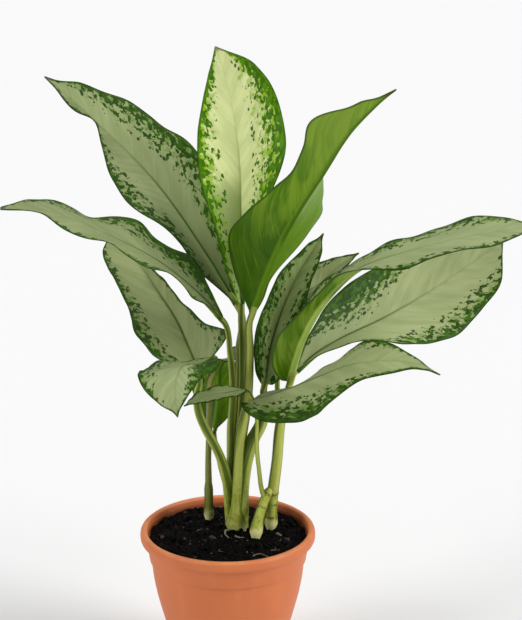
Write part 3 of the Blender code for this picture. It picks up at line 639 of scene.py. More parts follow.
class Paint:
    """One material's nodes, each added by one call that returns its output, and its colour so far."""

    def __init__(self, name, surface=None):
        self.material = bpy.data.materials.new(name)
        self.material.use_nodes = True
        self.tree = self.material.node_tree
        self.shader = self.tree.nodes["Principled BSDF"]
        self.surface = surface

    def node(self, kind, inputs, output=0, **settings):
        made = self.tree.nodes.new(kind)
        for key, value in settings.items():
            setattr(made, key, value)
        for key, value in inputs.items():
            self.feed(made.inputs[key], value)
        return made.outputs[output]

    def feed(self, socket, value):
        if isinstance(value, bpy.types.NodeSocket):
            self.tree.links.new(value, socket)
        elif socket.type == "RGBA" and len(value) == 3:
            socket.default_value = (*value, 1.0)
        else:
            socket.default_value = value

    def set(self, **sockets):
        for key, value in sockets.items():
            self.feed(self.shader.inputs[key.replace("_", " ")], value)

    def stored(self, name):
        """The three numbers stored on the piece under a name."""
        return self.node("ShaderNodeAttribute", {}, "Vector", attribute_name=name)

    def parts(self, vector, *which):
        return [self.node("ShaderNodeSeparateXYZ", {0: vector}, k) for k in which]

    def place(self):
        return self.node("ShaderNodeTexCoord", {}, "Object")

    def math(self, operation, a, b=0.0):
        return self.node("ShaderNodeMath", {0: a, 1: b}, operation=operation)

    def plus(self, a, b):
        return self.math("ADD", a, b)

    def times(self, a, b):
        return self.math("MULTIPLY", a, b)

    def minus(self, a, b):
        return self.math("SUBTRACT", a, b)

    def off(self, value, middle):
        """How far a value is from a middle one."""
        return self.math("ABSOLUTE", self.minus(value, middle))

    def swing(self, noise, size):
        """A noise made to swing to both sides of 0."""
        return self.times(self.minus(noise, 0.5), size)

    def stretch(self, vector, by, shift=(0, 0, 0)):
        return self.node("ShaderNodeVectorMath", {0: vector, 1: by, 2: shift}, operation="MULTIPLY_ADD")

    def noise(self, vector, scale=1.0, detail=2.0, rough=0.5):
        return self.node("ShaderNodeTexNoise", {"Vector": vector, "Scale": scale, "Detail": detail,
                                                "Roughness": rough})

    def drawn(self, vector, by, shift=(0, 0, 0), detail=2.0, rough=0.5):
        """A noise drawn out differently along each axis."""
        return self.noise(self.stretch(vector, by, shift), 1.0, detail, rough)

    def cells(self, vector, output):
        """Round cells: the distance from each one's middle, or a random colour of its own."""
        return self.node("ShaderNodeTexVoronoi", {"Vector": vector, "Scale": 1.0}, output)

    def step(self, value, low, high, start=0.0, end=1.0):
        """Start below low, end above high, and a smooth change between them."""
        return self.node("ShaderNodeMapRange", {"Value": value, "From Min": low, "From Max": high,
                                                "To Min": start, "To Max": end},
                         interpolation_type="SMOOTHSTEP")

    def mix(self, share, a, b):
        made = self.tree.nodes.new("ShaderNodeMix")
        made.data_type = "RGBA"
        self.feed(made.inputs[0], share)
        self.feed(made.inputs[6], a)
        self.feed(made.inputs[7], b)
        return made.outputs[2]

    def cover(self, share, colour):
        """Lays a colour over what is there, by a share."""
        self.surface = self.mix(share, self.surface, colour)

    def coat(self, colour, *step):
        """Lays a colour over what is there, where a value steps from low to high."""
        self.cover(self.step(*step), colour)

    def bump(self, height, distance, strength=1.0):
        self.set(Normal=self.node("ShaderNodeBump", {"Height": height, "Distance": distance,
                                                     "Strength": strength}))

    def finish(self, roughness, specular, **sockets):
        self.set(Base_Color=self.surface, Roughness=roughness, Specular_IOR_Level=specular, **sockets)
        return self.material


def tinted(rgb, by):
    return tuple(min(1.0, c * k) for c, k in zip(rgb, by))


def translucent(weight, depth):
    """Light that goes a little way into a leaf or a stalk."""
    return dict(Subsurface_Weight=weight, Subsurface_Radius=(0.9, 1.0, 0.35), Subsurface_Scale=depth)


def blade_places(paint):
    """Where a point lies on its blade: across and along it, in its side veins, away from the nearest
    vein's line, and away from its rim and its midrib."""
    veins = paint.stored("blade_veins")
    vein = paint.off(paint.math("FRACT", paint.parts(veins, 2)[0]), 0.5)
    return (*paint.parts(paint.stored("blade_place"), 0, 1), veins, vein,
            *paint.parts(paint.stored("blade_margin"), 0, 1))


def blade_paint(name, silver, green, dark, spots=0.0, clear=0.0, foot=0.4, line=0.85, shadow=0.0):
    """A blade's upper face: a pale centre with a dark midrib line, a green band broken into dark
    blotches that lie along the side veins, loose spots inside it, and a dark rim, with painted
    shade at its foot and, where shadow is set, a painted shadow over the lower part of one half."""
    paint = Paint(name, tinted(silver, (0.82, 0.84, 0.78)))
    across, along, veins, vein, from_rim, from_rib = blade_places(paint)
    in_band = paint.parts(paint.stored("blade_place"), 2)[0]
    flat = paint.stored("blade_flat")
    # the pale centre: cloudy, finely streaked along the veins, greener at its foot and darker there as painted
    # shade
    paint.coat(silver, paint.drawn(veins, (0.03, 0.05, 1.0), (4, 0, 0)), 0.3, 0.7)
    streak = paint.drawn(veins, (0.32, 0.04, 1.0), (0, 9, 0), 4.0, 0.6)
    paint.coat(tinted(silver, (0.7, 0.76, 0.6)), streak, 0.46, 0.72, 0.0, 0.4)
    paint.coat(tinted(silver, (1.22, 1.19, 1.2)), streak, 0.28, 0.46, 0.3, 0.0)
    vein_line = paint.times(paint.step(vein, 0.0, 0.07, 0.09, 0.0), paint.step(from_rib, 2.0, 24.0, 1.0, 0.2))
    paint.cover(vein_line, tinted(silver, (0.6, 0.7, 0.5)))
    paint.coat(tinted(silver, (0.32, 0.38, 0.24)), along, 0.02, 0.55, foot, 0.0)
    shaded = paint.times(paint.step(across, -0.02, 0.01, shadow, 0.0), paint.step(along, 0.4, 0.52, 1.0, 0.0))
    paint.cover(shaded, tinted(silver, (0.42, 0.52, 0.36)))
    # the green band: grey green between its blotches, fuller towards the rim
    mottle = paint.drawn(flat, (0.14, 0.14, 1.0), (5, 2, 0), 3.0, 0.6)
    paint.coat(green, paint.plus(in_band, paint.swing(mottle, 3.2)), 0.2, 1.1, 0.0, 0.85 - clear)
    # dark blotches, more of them towards the rim
    blotch = paint.drawn(flat, (0.17, 0.24, 1.0), (7, 3, 0), 2.0, 0.6)
    crowd = paint.plus(paint.step(in_band, -0.15, 0.15, -0.3, -0.06), paint.step(in_band, 0.3, 0.95, 0.0, 0.13))
    crowd = paint.plus(crowd, paint.step(in_band, 0.9, 1.5, 0.0, 0.2))
    marked = paint.step(paint.plus(blotch, crowd), 0.5 - spots, 0.525 - spots)
    tone = paint.drawn(flat, (0.15, 0.2, 1.0), (2, 7, 0))
    paint.cover(paint.times(marked, 0.97),
                paint.mix(paint.step(tone, 0.45, 0.62), dark, tinted(green, (0.36, 0.56, 0.24))))
    # loose spots at the band's inner side
    cells = paint.stretch(flat, (0.24, 0.34, 1.0), (1, 5, 0))
    size = paint.step(paint.parts(paint.cells(cells, "Color"), 0)[0], 0.45 - spots, 1.0, 0.0, 0.5)
    window = paint.times(paint.step(in_band, -0.3, 0.1), paint.step(in_band, 0.6, 1.0, 1.0, 0.0))
    spot = paint.step(paint.minus(paint.times(size, window), paint.cells(cells, "Distance")), -0.02, 0.03)
    paint.cover(paint.times(spot, 0.95), dark)
    # the continuous green edge, its dark rim, the midrib's line and the withered tail
    paint.coat(paint.mix(paint.step(tone, 0.42, 0.6), tinted(green, (0.4, 0.6, 0.26)), dark),
               paint.plus(from_rim, paint.times(mottle, -6.5)), -2.0, -0.7, 0.95, 0.0)
    rim = paint.times(paint.step(from_rim, 0.4, 1.1, 0.9, 0.0), paint.step(along, 0.01, 0.06))
    paint.cover(rim, tinted(dark, (0.7, 0.65, 0.6)))
    crease = paint.times(paint.step(from_rib, 0.3, 1.6, line, 0.0), paint.step(along, 0.3, 0.75, 1.0, 0.15))
    paint.cover(crease, tinted(green, (0.4, 0.48, 0.45)))
    paint.coat(tinted(silver, (0.3, 0.27, 0.32)), along, 0.975, 0.99, 0.0, 0.85)
    grain = paint.drawn(veins, (0.8, 0.9, 1.0), detail=3.0)
    paint.bump(paint.plus(paint.step(vein, 0.0, 0.14, -0.3, 0.0), paint.times(grain, 0.2)), 0.0003, 0.5)
    gloss = paint.drawn(veins, (0.06, 0.06, 1.0), detail=3.0)
    return paint.finish(paint.step(gloss, 0.2, 0.8, 0.36, 0.5), 0.08, **translucent(0.08, 0.001))


def underside_paint(name, base, foot, rib):
    """A blade's underside: green with darker and greyer patches and raised side veins, with painted
    shade at its foot and along the midrib, and one half painted lighter as painted light.
    """
    paint = Paint(name, tinted(base, (0.42, 0.6, 0.1)))
    across, along, veins, vein, from_rim, from_rib = blade_places(paint)
    cloud = paint.drawn(veins, (0.02, 0.06, 1.0), (2, 6, 0), 3.0)
    streak = paint.drawn(veins, (0.3, 0.03, 1.0), (0, 9, 0), 4.0, 0.6)
    paint.coat(base, cloud, 0.42, 0.56)
    paint.coat(tinted(base, (1.2, 1.02, 3.2)), along, 0.5, 0.85, 0.0, 0.75)
    # painted shade: the underside's foot darker
    paint.coat(tinted(base, (0.12, 0.25, 0.0)), along, 0.2, 0.55, foot, 0.0)
    # painted light: the half with across below -0.12 lighter, where light falls on its curve
    paint.coat(tinted(base, (1.1, 1.2, 0.9)), across, -0.12, -0.02, 0.45, 0.0)
    paint.coat(tinted(base, (0.4, 0.6, 0.15)), streak, 0.45, 0.75, 0.0, 0.6)
    paint.coat(tinted(base, (1.4, 1.3, 1.6)), streak, 0.28, 0.44, 0.45, 0.0)
    paint.coat(tinted(base, (0.4, 0.55, 0.3)), vein, 0.0, 0.06, 0.22, 0.0)
    paint.coat(rib, from_rib, 1.0, 3.4, 0.75, 0.0)
    # painted shade: a thin dark line beside the midrib's ridge
    crease = paint.times(paint.step(from_rib, 0.2, 1.2, 0.8, 0.0), paint.step(along, 0.3, 0.36))
    paint.cover(crease, tinted(base, (0.3, 0.4, 0.15)))
    paint.coat(tinted(base, (0.15, 0.25, 0.3)), from_rim, 0.6, 2.2, 0.85, 0.0)
    paint.coat(tinted(base, (0.4, 0.22, 0.5)), along, 0.96, 0.98, 0.0, 0.85)
    grain = paint.drawn(veins, (0.8, 0.9, 1.0), detail=3.0)
    paint.bump(paint.plus(paint.step(vein, 0.0, 0.14, 0.4, 0.0), paint.times(grain, 0.25)), 0.0004, 0.6)
    return paint.finish(paint.step(cloud, 0.2, 0.8, 0.28, 0.42), 0.12, **translucent(0.08, 0.001))


def stem_paint(settings, name, yellow, bright, bleached):
    """Canes and leaf stalks: a painted highlight down the back, painted shade on the flanks and in
    the channel, streaks along them, brown scars.
    """
    base = tinted(settings.green, (bright * (1.0 + 0.1 * yellow), bright * (1.0 + 0.06 * yellow),
                                   bright * (1.0 - 0.2 * yellow)))
    # light and shady: lighter and darker copies of the green, for the painted highlight and the painted shade;
    # light also draws the pale line on each wing's edge
    light, shady = tinted(base, (1.45, 1.35, 1.7)), tinted(base, (0.14, 0.24, 0.04))
    paint = Paint(name, tinted(base, (0.42, 0.56, 0.22)))
    side, node = paint.parts(paint.stored("stem_place"), 0, 1)
    place = paint.place()
    height = paint.parts(place, 2)[0]
    streak = paint.drawn(paint.stored("stem_round"), (3.4, 3.4, 0.02), detail=4.0, rough=0.6)
    paint.coat(base, streak, 0.4, 0.56)
    # painted highlight down the stalk's back
    drift = paint.plus(side, paint.swing(streak, 0.3))
    paint.coat(light, drift, 0.72, 0.86, 0.0, 0.8)
    # painted shade along both flanks
    flank = paint.times(paint.step(drift, 0.37, 0.46), paint.step(drift, 0.6, 0.74, 1.0, 0.0))
    paint.cover(paint.times(flank, 0.85), shady)
    paint.coat(light, paint.off(side, 0.24), 0.015, 0.05, 0.7, 0.0)
    # painted shade in the channel
    paint.coat(shady, side, 0.1, 0.2, 0.75, 0.0)
    # stains and flecks, most of them low down, the pale foot, the node rings and the part in the blade
    fleck = paint.drawn(place, (420, 420, 380), detail=4.0, rough=0.6)
    low = paint.step(height, 0.13, 0.2, 1.0, 0.1)
    stain = paint.noise(place, 110.0, 3.0)
    paint.cover(paint.times(paint.step(stain, 0.5, 0.62, 0.0, 0.55), low), tinted(base, (0.85, 0.82, 0.16)))
    paint.cover(paint.times(paint.step(fleck, 0.57, 0.65, 0.0, 0.6), low), settings.scar)
    paint.coat(settings.pale, paint.plus(height, paint.swing(stain, 0.02)), 0.1265, 0.136, bleached, 0.0)
    paint.cover(paint.times(paint.step(node, 0.0, 1.0), paint.step(fleck, 0.4, 0.56, 0.2, 0.9)), settings.scar)
    paint.coat(settings.rib, node, -0.9, -0.1, 0.9, 0.0)
    paint.bump(paint.plus(streak, paint.times(fleck, 0.3)), 0.0006, 0.7)
    return paint.finish(paint.step(streak, 0.3, 0.8, 0.34, 0.48), 0.22, **translucent(0.1, 0.0015))


def pot_paint(settings):
    """Matte terracotta-coloured plastic: cloudy, finely grained, rubbed paler in places, a painted
    highlight along the lip's top, and painted shade inside just above the soil.
    """
    paint = Paint("terracotta_plastic", tinted(settings.clay, (0.93, 0.9, 0.87)))
    place = paint.place()
    height = paint.parts(place, 2)[0]
    cloud = paint.noise(place, 26.0, 4.0, 0.6)
    paint.coat(settings.clay, cloud, 0.3, 0.7)
    paint.coat(settings.worn_and_lit, paint.drawn(place, (60, 60, 7), detail=3.0), 0.52, 0.8, 0.0, 0.14)
    # painted highlight: the lip's top lighter, broken up by the cloud
    lip = paint.times(paint.step(height, 0.1275, 0.1298), paint.step(cloud, 0.35, 0.65, 0.3, 0.75))
    paint.cover(lip, settings.worn_and_lit)
    # painted shade: the inner wall darker just above the soil
    flat = paint.stretch(place, (1, 1, 0))
    radius = paint.node("ShaderNodeVectorMath", {0: flat}, "Value", operation="LENGTH")
    inside = paint.times(paint.step(radius, 0.0690, 0.0698, 1.0, 0.0),
                         paint.step(height, 0.1225, 0.1265, 0.85, 0.0))
    paint.cover(paint.times(inside, paint.step(height, 0.1204, 0.1208)), settings.wall_shade)
    paint.coat(tinted(settings.clay, (0.6, 0.5, 0.45)), paint.noise(place, 900.0), 0.66, 0.76, 0.0, 0.3)
    grain = paint.noise(place, 1600.0, 3.0)
    paint.bump(paint.plus(paint.times(grain, 0.5), paint.times(cloud, 0.5)), 0.0002, 0.5)
    return paint.finish(paint.step(cloud, 0.25, 0.75, 0.42, 0.56), 0.3)


def soil_paint(settings):
    """Moist, nearly black soil with brown fibres and tiny pale specks."""
    paint = Paint("moist_soil", tinted(settings.dark, (0.16, 0.16, 0.16)))
    place = paint.place()
    clump = paint.noise(place, 240.0, 5.0, 0.65)
    paint.coat(settings.dark, clump, 0.42, 0.66)
    paint.coat(settings.bark, paint.drawn(place, (1500, 260, 700), detail=3.0), 0.66, 0.74, 0.0, 0.6)
    paint.coat(settings.grit, paint.noise(place, 1100.0), 0.72, 0.78, 0.0, 0.5)
    paint.bump(clump, 0.002)
    return paint.finish(paint.step(clump, 0.3, 0.7, 0.35, 0.8), 0.06)


def bit_paint(name, base):
    """Bark, grit or root threads lying on the soil."""
    paint = Paint(name, tinted(base, (0.45, 0.42, 0.4)))
    mottle = paint.noise(paint.place(), 700.0, 3.0)
    paint.coat(base, mottle, 0.35, 0.7)
    paint.bump(mottle, 0.0004, 0.6)
    return paint.finish(paint.step(mottle, 0.3, 0.7, 0.6, 0.85), 0.5)


# Leaves

def blade_frame(leaf, shares):
    """Points along the midrib, with the blade's direction, its upper face's and its right side's."""
    midrib = along_curve(leaf["midrib"], shares)
    along = unit(np.gradient(midrib, axis=0))
    faces = unit(np.array(leaf["faces"], float))
    looks = through(np.linspace(0, 1, len(faces)), faces, shares)
    up = unit(looks - (looks * along).sum(1)[:, None] * along)
    return midrib, along, up, np.cross(along, up)


def half_width(leaf, side, shares):
    widths = (BASE_HALF_WIDTH, *leaf[side], TIP_HALF_WIDTH)
    places = (0, *np.linspace(0.1, 0.9, len(leaf[side])), 1)
    return np.maximum(through(places, widths, shares)[:, 0], TIP_HALF_WIDTH)


def blade_surface(leaf, columns, shares, veins):
    """The upper face as an array of points, and what its paint needs at each of them."""
    midrib, _, up, right = blade_frame(leaf, shares)
    blade_length = running_length(midrib)[-1]
    height, waves, phase = leaf["wave"]
    fade = np.sin(math.pi * shares) ** WAVE_FADE
    tail = 1 - leaf["tail"] * eased(shares, *TAIL_AT)
    surface = np.zeros((len(shares), len(columns), 3))
    place, vein, flat, margin = (np.zeros_like(surface) for _ in range(4))
    for k, s in enumerate(columns):
        side = "left" if s < 0 else "right"
        right_half = s > 0
        width = half_width(leaf, side, shares) * tail
        for at, spread, size in leaf["bumps_" + side]:
            width = width + size * np.exp(-((shares - at) / spread) ** 2)
        rise, band, dense = (through(RISE_AT, leaf[key + side], shares)[:, 0]
                             for key in ("rise_", "band_", "dense_"))
        rise = np.radians(rise)
        turn = waves * shares + phase + WAVE_SHIFT * right_half
        wave = s * s * height * fade * np.sin(2 * math.pi * turn)
        ripple = RIPPLES * shares + 2 * phase + RIPPLE_SHIFT * right_half
        wave += s**4 * LEAF_RIPPLE * fade * np.sin(2 * math.pi * ripple)
        out = abs(s) * width
        forward = shares * blade_length - width * (VEIN_LEAN * abs(s) + VEIN_ARCH * abs(s) ** 3)
        vein_phase = forward / blade_length * veins + (VEIN_SHIFT if s < 0 else 0.0)
        quilt = (LEAF_QUILT * np.cos(2 * math.pi * vein_phase) * np.clip(out / QUILT_FROM, 0, 1)
                 * (1 - s * s) * fade)
        groove = MIDRIB_GROOVE * np.exp(-(out / GROOVE_WIDTH) ** 2) * (1 - 0.6 * shares)
        lift = out * np.sin(rise) + wave - quilt - groove
        surface[:, k] = midrib + (s * width * np.cos(rise))[:, None] * right + lift[:, None] * up
        place[:, k] = three(s, shares, (abs(s) - 1 + band) / band + dense)
        vein[:, k] = three(forward, out + (HALVES_APART if s < 0 else 0), vein_phase)
        flat[:, k] = three(shares * blade_length - BLOTCH_LEAN * out, s * width, 0)
        margin[:, k] = three(width - out, out, 0)
    curl = np.array(leaf["curl"], float) * (np.clip(shares - CURL_FROM, 0, 1) / CURL_LENGTH)[:, None] ** 2
    return surface + curl[:, None], place, vein, flat, margin


def surface_normals(surface):
    across = np.gradient(surface, axis=1)
    along = np.gradient(surface, axis=0)
    return unit(np.cross(across, along))


def build_leaf(node, leaf, number, settings, upper, under):
    across, along = BLADE_STEPS if len(leaf["midrib"]) > 4 else SMALL_BLADE_STEPS
    t = np.linspace(-1, 1, across + 1)
    columns = np.sign(t) * np.abs(t) ** CROWDING
    shares = np.linspace(0, 1, along + 1)
    surface, place, vein, flat, margin = blade_surface(leaf, columns, shares, settings.veins)
    vein[..., 0] += VEINS_APART * number
    flat[..., 2] += BLOTCHES_APART * number
    piece, column, row = grid_over(node.replace("leaf", "blade"), across, along, surface)
    piece.data.materials.append(upper)
    piece.data.materials.append(under)
    count = len(piece.data.vertices)
    modify(piece, "SOLIDIFY", thickness=settings.thickness, offset=-1.0, material_offset=1,
           material_offset_rim=0)
    if len(piece.data.vertices) != 2 * count:
        raise RuntimeError("%s wasn't thickened as a pair of faces" % node)
    # the underside: thin at the margin, with the midrib's ridge
    s, u = columns[column], shares[row]
    ridge = settings.rib / MM * (1 - u) ** 0.7 + 0.25
    out = margin[row, column, 1]
    rib = np.sqrt(np.maximum(ridge**2 - (out * 0.9) ** 2, 0))
    thick = settings.thickness / MM * (1 - 0.55 * np.abs(s) ** 8) + rib
    under_points = surface[row, column] - thick[:, None] * surface_normals(surface)[row, column]
    place_vertices(piece.data, np.clip(np.concatenate([surface[row, column], under_points]) * MM, *inner_box()))
    for name, values in (("place", place), ("veins", vein), ("flat", flat), ("margin", margin)):
        write_values(piece, "blade_" + name, np.tile(values[row, column], (2, 1)))
    hand_over(piece, "leaves", node)


# Shoots

def stem_frames(points, leans):
    """The way a stem's channel faces all along it, and the way to its side."""
    along = unit(np.gradient(points, axis=0))
    channel = unit(leans - (leans * along).sum(1)[:, None] * along)
    return channel, np.cross(along, channel)


def build_stem(name, route, radii, faces, channel_depth, rings, foot, bladed=True):
    """One cane or leaf stalk: a grid rolled up round its route, its seam merged and its ends closed."""
    route = np.array(route, float)
    chord = running_length(route)
    radii = [*radii, *[radii[-1]] * (len(route) - len(radii))]
    steps = max(12, math.ceil(chord[-1] / STEM_STEP))
    places = np.linspace(0, chord[-1], steps + 1)
    points = through(chord, route, places)
    size = np.interp(places, chord, radii)
    leans = through((0, chord[-1]), faces, places)
    channel, side = stem_frames(points, leans)
    share = places / chord[-1]
    nodes = np.zeros_like(places)
    for height in rings:
        nodes += np.exp(-((points[:, 2] - height) / NODE_SPREAD) ** 2)
    swell = np.exp(-((points[:, 2] - SOIL_EDGE - FLARE_HEIGHT) / FLARE_SPREAD) ** 2)
    size = size * (1 + NODE_SWELL * nodes + foot * swell)
    if foot:
        size = size * (1 - 0.3 * eased(-points[:, 2], -SOIL_EDGE - 7, -SOIL_EDGE - 1))
    in_blade = eased(places, chord[-2] - 2, chord[-2] + 14) if bladed else np.zeros_like(places)
    opening = np.clip(places / 5, 0, 1) ** 0.5
    closing = np.clip((chord[-1] - places) / 4, 0, 1) ** 0.5
    size = size * np.maximum(np.minimum(closing, opening), 0.25)
    depth = channel_depth * np.clip((share - 0.02) / 0.15, 0, 1)
    turn = np.linspace(-math.pi, math.pi, STEM_SIDES + 1)
    surface = np.zeros((steps + 1, STEM_SIDES + 1, 3))
    values, rounds = np.zeros_like(surface), np.zeros_like(surface)
    for k, angle in enumerate(turn):
        dip = depth * np.exp(-(angle / CHANNEL_SPREAD) ** 2)
        wing = 0.5 * depth * np.exp(-((abs(angle) - WING_AT) / WING_SPREAD) ** 2)
        ribs = STEM_RIBS * math.cos(STEM_RIB_COUNT * angle) * np.sin(places / RIB_LENGTH + angle)
        reach = size * (1 - dip + wing + ribs)
        surface[:, k] = (points + (reach * math.cos(angle))[:, None] * channel
                         + (reach * math.sin(angle))[:, None] * side)
        values[:, k] = three(abs(angle) / math.pi, np.clip(nodes, 0, 1) - in_blade, 0)
        rounds[:, k] = three(math.cos(angle), math.sin(angle), places + STEMS_APART * route[0, 0])
    piece, column, row = grid_over(name, STEM_SIDES, steps, surface)
    write_values(piece, "stem_place", values[row, column])
    write_values(piece, "stem_round", rounds[row, column])
    edit(piece, MERGE, CLOSE, OUTWARD)
    return piece


def into_blade(leaf):
    """The last points of a stalk: straight along the blade's base, then a little way under its midrib."""
    shares = np.linspace(0, 1, 60)
    midrib, along, up, _ = blade_frame(leaf, shares)
    base = midrib[0] - UNDER_BLADE * up[0]
    start = midrib[0] - STRAIGHT_END * along[0] - UNDER_BLADE * up[0]
    end = midrib[3] - 1.3 * up[3]
    return [tuple(start), tuple(base), tuple(end)], up[0]


def build_shoot(name, shoot, settings, paint):
    stems = []
    for k, cane in enumerate(shoot["canes"]):
        x, y = cane["foot"]
        heights = (SOIL_EDGE - ROOT_DEPTH + 0.5, SOIL_EDGE - 4, SOIL_EDGE + 3)
        route = [*((x, y, z) for z in heights), *cane["route"]]
        faces = [(0, 1, 0.01), (0, 1, 0.01)]
        if cane["leaf"]:
            ends, up = into_blade(LEAVES[cane["leaf"]])
            route += ends
            faces[1] = tuple(up)
        stems.append(build_stem("%s_%d" % (name, k), route, cane["radii"], faces, 0.0, shoot["rings"],
                                cane.get("flare", FLARE), bool(cane["leaf"])))
    for stalk in shoot["stalks"]:
        ends, up = into_blade(LEAVES[stalk["leaf"]])
        start = STALK_FEET.get(stalk["leaf"])
        radii = (*start[1], *stalk["radii"][1:]) if start else stalk["radii"]
        route = [*start[0], *stalk["route"][1:], *ends] if start else [*stalk["route"], *ends]
        inward = Vector(shoot["middle"]) - Vector(stalk["route"][1])
        first = (inward.x, inward.y, 0.5)
        stems.append(build_stem(stalk["leaf"] + "_stalk", route, radii, [first, tuple(up)],
                                settings.channel, (), 0.0))
    whole = joined(name + "_stems", stems)
    whole.data.materials.clear()
    whole.data.materials.append(paint)
    hand_over(whole, "stalks", name)


# Pot

def spin_profile(name, profile, steps):
    """A circle's vertices moved onto a profile in the XZ plane, opened at the axis and spun round it."""
    piece = primitive(name, bpy.ops.mesh.primitive_circle_add, vertices=len(profile), radius=1,
                      fill_type="NOTHING")
    place_vertices(piece.data, [(r * MM, 0, z * MM) for r, z in profile])
    bm = bmesh.new()
    bm.from_mesh(piece.data)
    on_axis = [e for e in bm.edges if all(abs(v.co.x) < 1e-7 for v in e.verts)]
    bmesh.ops.delete(bm, geom=on_axis, context="EDGES")
    bm.to_mesh(piece.data)
    bm.free()
    edit(piece, (bpy.ops.mesh.spin, dict(steps=steps, angle=2 * math.pi, center=(0, 0, 0), axis=(0, 0, 1))),
         MERGE, OUTWARD)
    return piece


def outer_radius(z):
    """The pot's tapered wall, fullest a little under its shoulder."""
    part = z / SHOULDER_HEIGHT
    return BASE_RADIUS + (SHOULDER_RADIUS - BASE_RADIUS) * part + WALL_BULGE * math.sin(math.pi * part**2)


def inner_radius(z):
    if z < SHOULDER_HEIGHT:
        return outer_radius(z) - WALL
    part = (z - SHOULDER_HEIGHT) / (MOUTH_HEIGHT - SHOULDER_HEIGHT)
    return SHOULDER_RADIUS - WALL + (MOUTH_RADIUS - SHOULDER_RADIUS + WALL) * part


def pot_profile():
    wall = [(outer_radius(z), z) for z in WALL_HEIGHTS]
    inside = [(inner_radius(z), z) for z in INNER_HEIGHTS]
    low = inner_radius(FLOOR)
    return [*BOTTOM_CORNER, *wall, *BAND, *LIP, *inside, (low - 0.4, FLOOR + 0.5), (low - 2, FLOOR), (0, FLOOR)]


class EVERGREEN_OT_pot(bpy.types.Operator):
    """Turn the pot, drill its drainage holes and paint it"""
    bl_idname = "evergreen.pot"
    bl_label = "Pot"

    def execute(self, context):
        settings = context.scene.evergreen.pot
        pot = spin_profile("plant_pot", pot_profile(), settings.sides)
        drills = []
        for k in range(DRAIN_COUNT):
            angle = 2 * math.pi * (k + 0.5) / DRAIN_COUNT
            centre = (DRAIN_CIRCLE * MM * math.cos(angle), DRAIN_CIRCLE * MM * math.sin(angle), 0.0015)
            drills.append(primitive("drill", bpy.ops.mesh.primitive_cylinder_add, vertices=40,
                                    radius=DRAIN_RADIUS * MM, depth=0.01, location=centre,
                                    rotation=(0, 0, DRILL_TURN)))
        drill = joined("drainage_drill", drills)
        modify(pot, "BOOLEAN", operation="DIFFERENCE", solver="EXACT", object=drill)
        bpy.data.objects.remove(drill)
        pot.data.materials.append(pot_paint(settings))
        hand_over(pot, "pot", "pot")
        pick(pot)
        bpy.ops.object.shade_smooth_by_angle(angle=math.radians(SHARP_EDGE))
        return {"FINISHED"}


# Soil

def soil_height(x, y):
    """The soil's mounded, crumbly top, in millimetres."""
    mound = MOUND * (1 - math.hypot(x, y) ** 2 / MOUND_RADIUS**2)
    lumps = math.sin(0.23 * x + 1.1) * math.cos(0.19 * y - 0.4) + 0.6 * math.sin(0.41 * x - 0.37 * y)
    clods = noise.fractal(Vector((x, y, 3.0)) * 0.17, 0.7, 2.1, 6)
    return SOIL_EDGE + mound + 0.9 * lumps + 2.2 * clods


def soil_surface():
    """The body of the soil, spun up and then crumbled on top."""
    profile = [*SOIL_SIDES, (SOIL_RADIUS, SOIL_EDGE - 2)]
    profile += [(SOIL_RADIUS * (1 - k / SOIL_RINGS), SOIL_EDGE) for k in range(SOIL_RINGS + 1)]
    piece = spin_profile("potting_soil", profile, SOIL_STEPS)
    points = positions(piece.data) / MM
    for point in points:
        if point[2] > SOIL_EDGE - 1:
            point[2] = soil_height(point[0], point[1])
    place_vertices(piece.data, points * MM)
    return piece


def crumb(name, rng, flat):
    """One jagged lump with a few dozen faces."""
    piece = primitive(name, bpy.ops.mesh.primitive_uv_sphere_add, segments=7, ring_count=5, radius=MM)
    points = positions(piece.data)
    points *= 1 + 0.2 * rng.standard_normal((len(points), 1))
    points[:, 2] *= flat
    place_vertices(piece.data, points)
    return piece


def strew(name, kinds, count, rng, sizes, paint, sink):
    """Copies of a few lumps, each turned and sized its own way, lying on the soil, as one mesh."""
    bm = bmesh.new()
    for k in range(count):
        angle, reach = rng.uniform(0, 2 * math.pi), STREWN_RADIUS * math.sqrt(rng.uniform(0, 1))
        x, y = reach * math.cos(angle), reach * math.sin(angle)
        size = rng.uniform(*sizes)
        w, i, j, l = unit(rng.standard_normal(4))
        spin = np.array([[1 - 2 * (j * j + l * l), 2 * (i * j - w * l), 2 * (i * l + w * j)],
                         [2 * (i * j + w * l), 1 - 2 * (i * i + l * l), 2 * (j * l - w * i)],
                         [2 * (i * l - w * j), 2 * (j * l + w * i), 1 - 2 * (i * i + j * j)]])
        start = len(bm.verts)
        bm.from_mesh(kinds[k % len(kinds)].data)
        bm.verts.ensure_lookup_table()
        place = np.array([x, y, soil_height(x, y) - sink * size]) * MM
        for vert in bm.verts[start:]:
            vert.co = Vector(spin @ np.array(vert.co) * size + place)
    mesh = bpy.data.meshes.new(name)
    bm.to_mesh(mesh)
    bm.free()
    mesh.materials.append(paint)
    for kind in kinds:
        bpy.data.objects.remove(kind)
    return add_object(name, mesh)


def thread(name, points, radius, paint):
    """A root thread lying on the soil."""
    curve = bpy.data.curves.new(name, "CURVE")
    curve.dimensions = "3D"
    curve.bevel_depth = radius * MM
    curve.bevel_resolution = 2
    curve.use_fill_caps = True
    spline = curve.splines.new("POLY")
    shares = np.linspace(0, 1, 24)
    path = along_curve(points, shares)
    spline.points.add(len(path) - 1)
    for point, place, share in zip(spline.points, path, shares):
        point.co = (*(place * MM), 1.0)
        point.radius = 1 - 0.7 * share
    piece = add_object(name, curve)
    pick(piece)
    bpy.ops.object.convert(target="MESH")
    piece.data.materials.append(paint)
    return piece


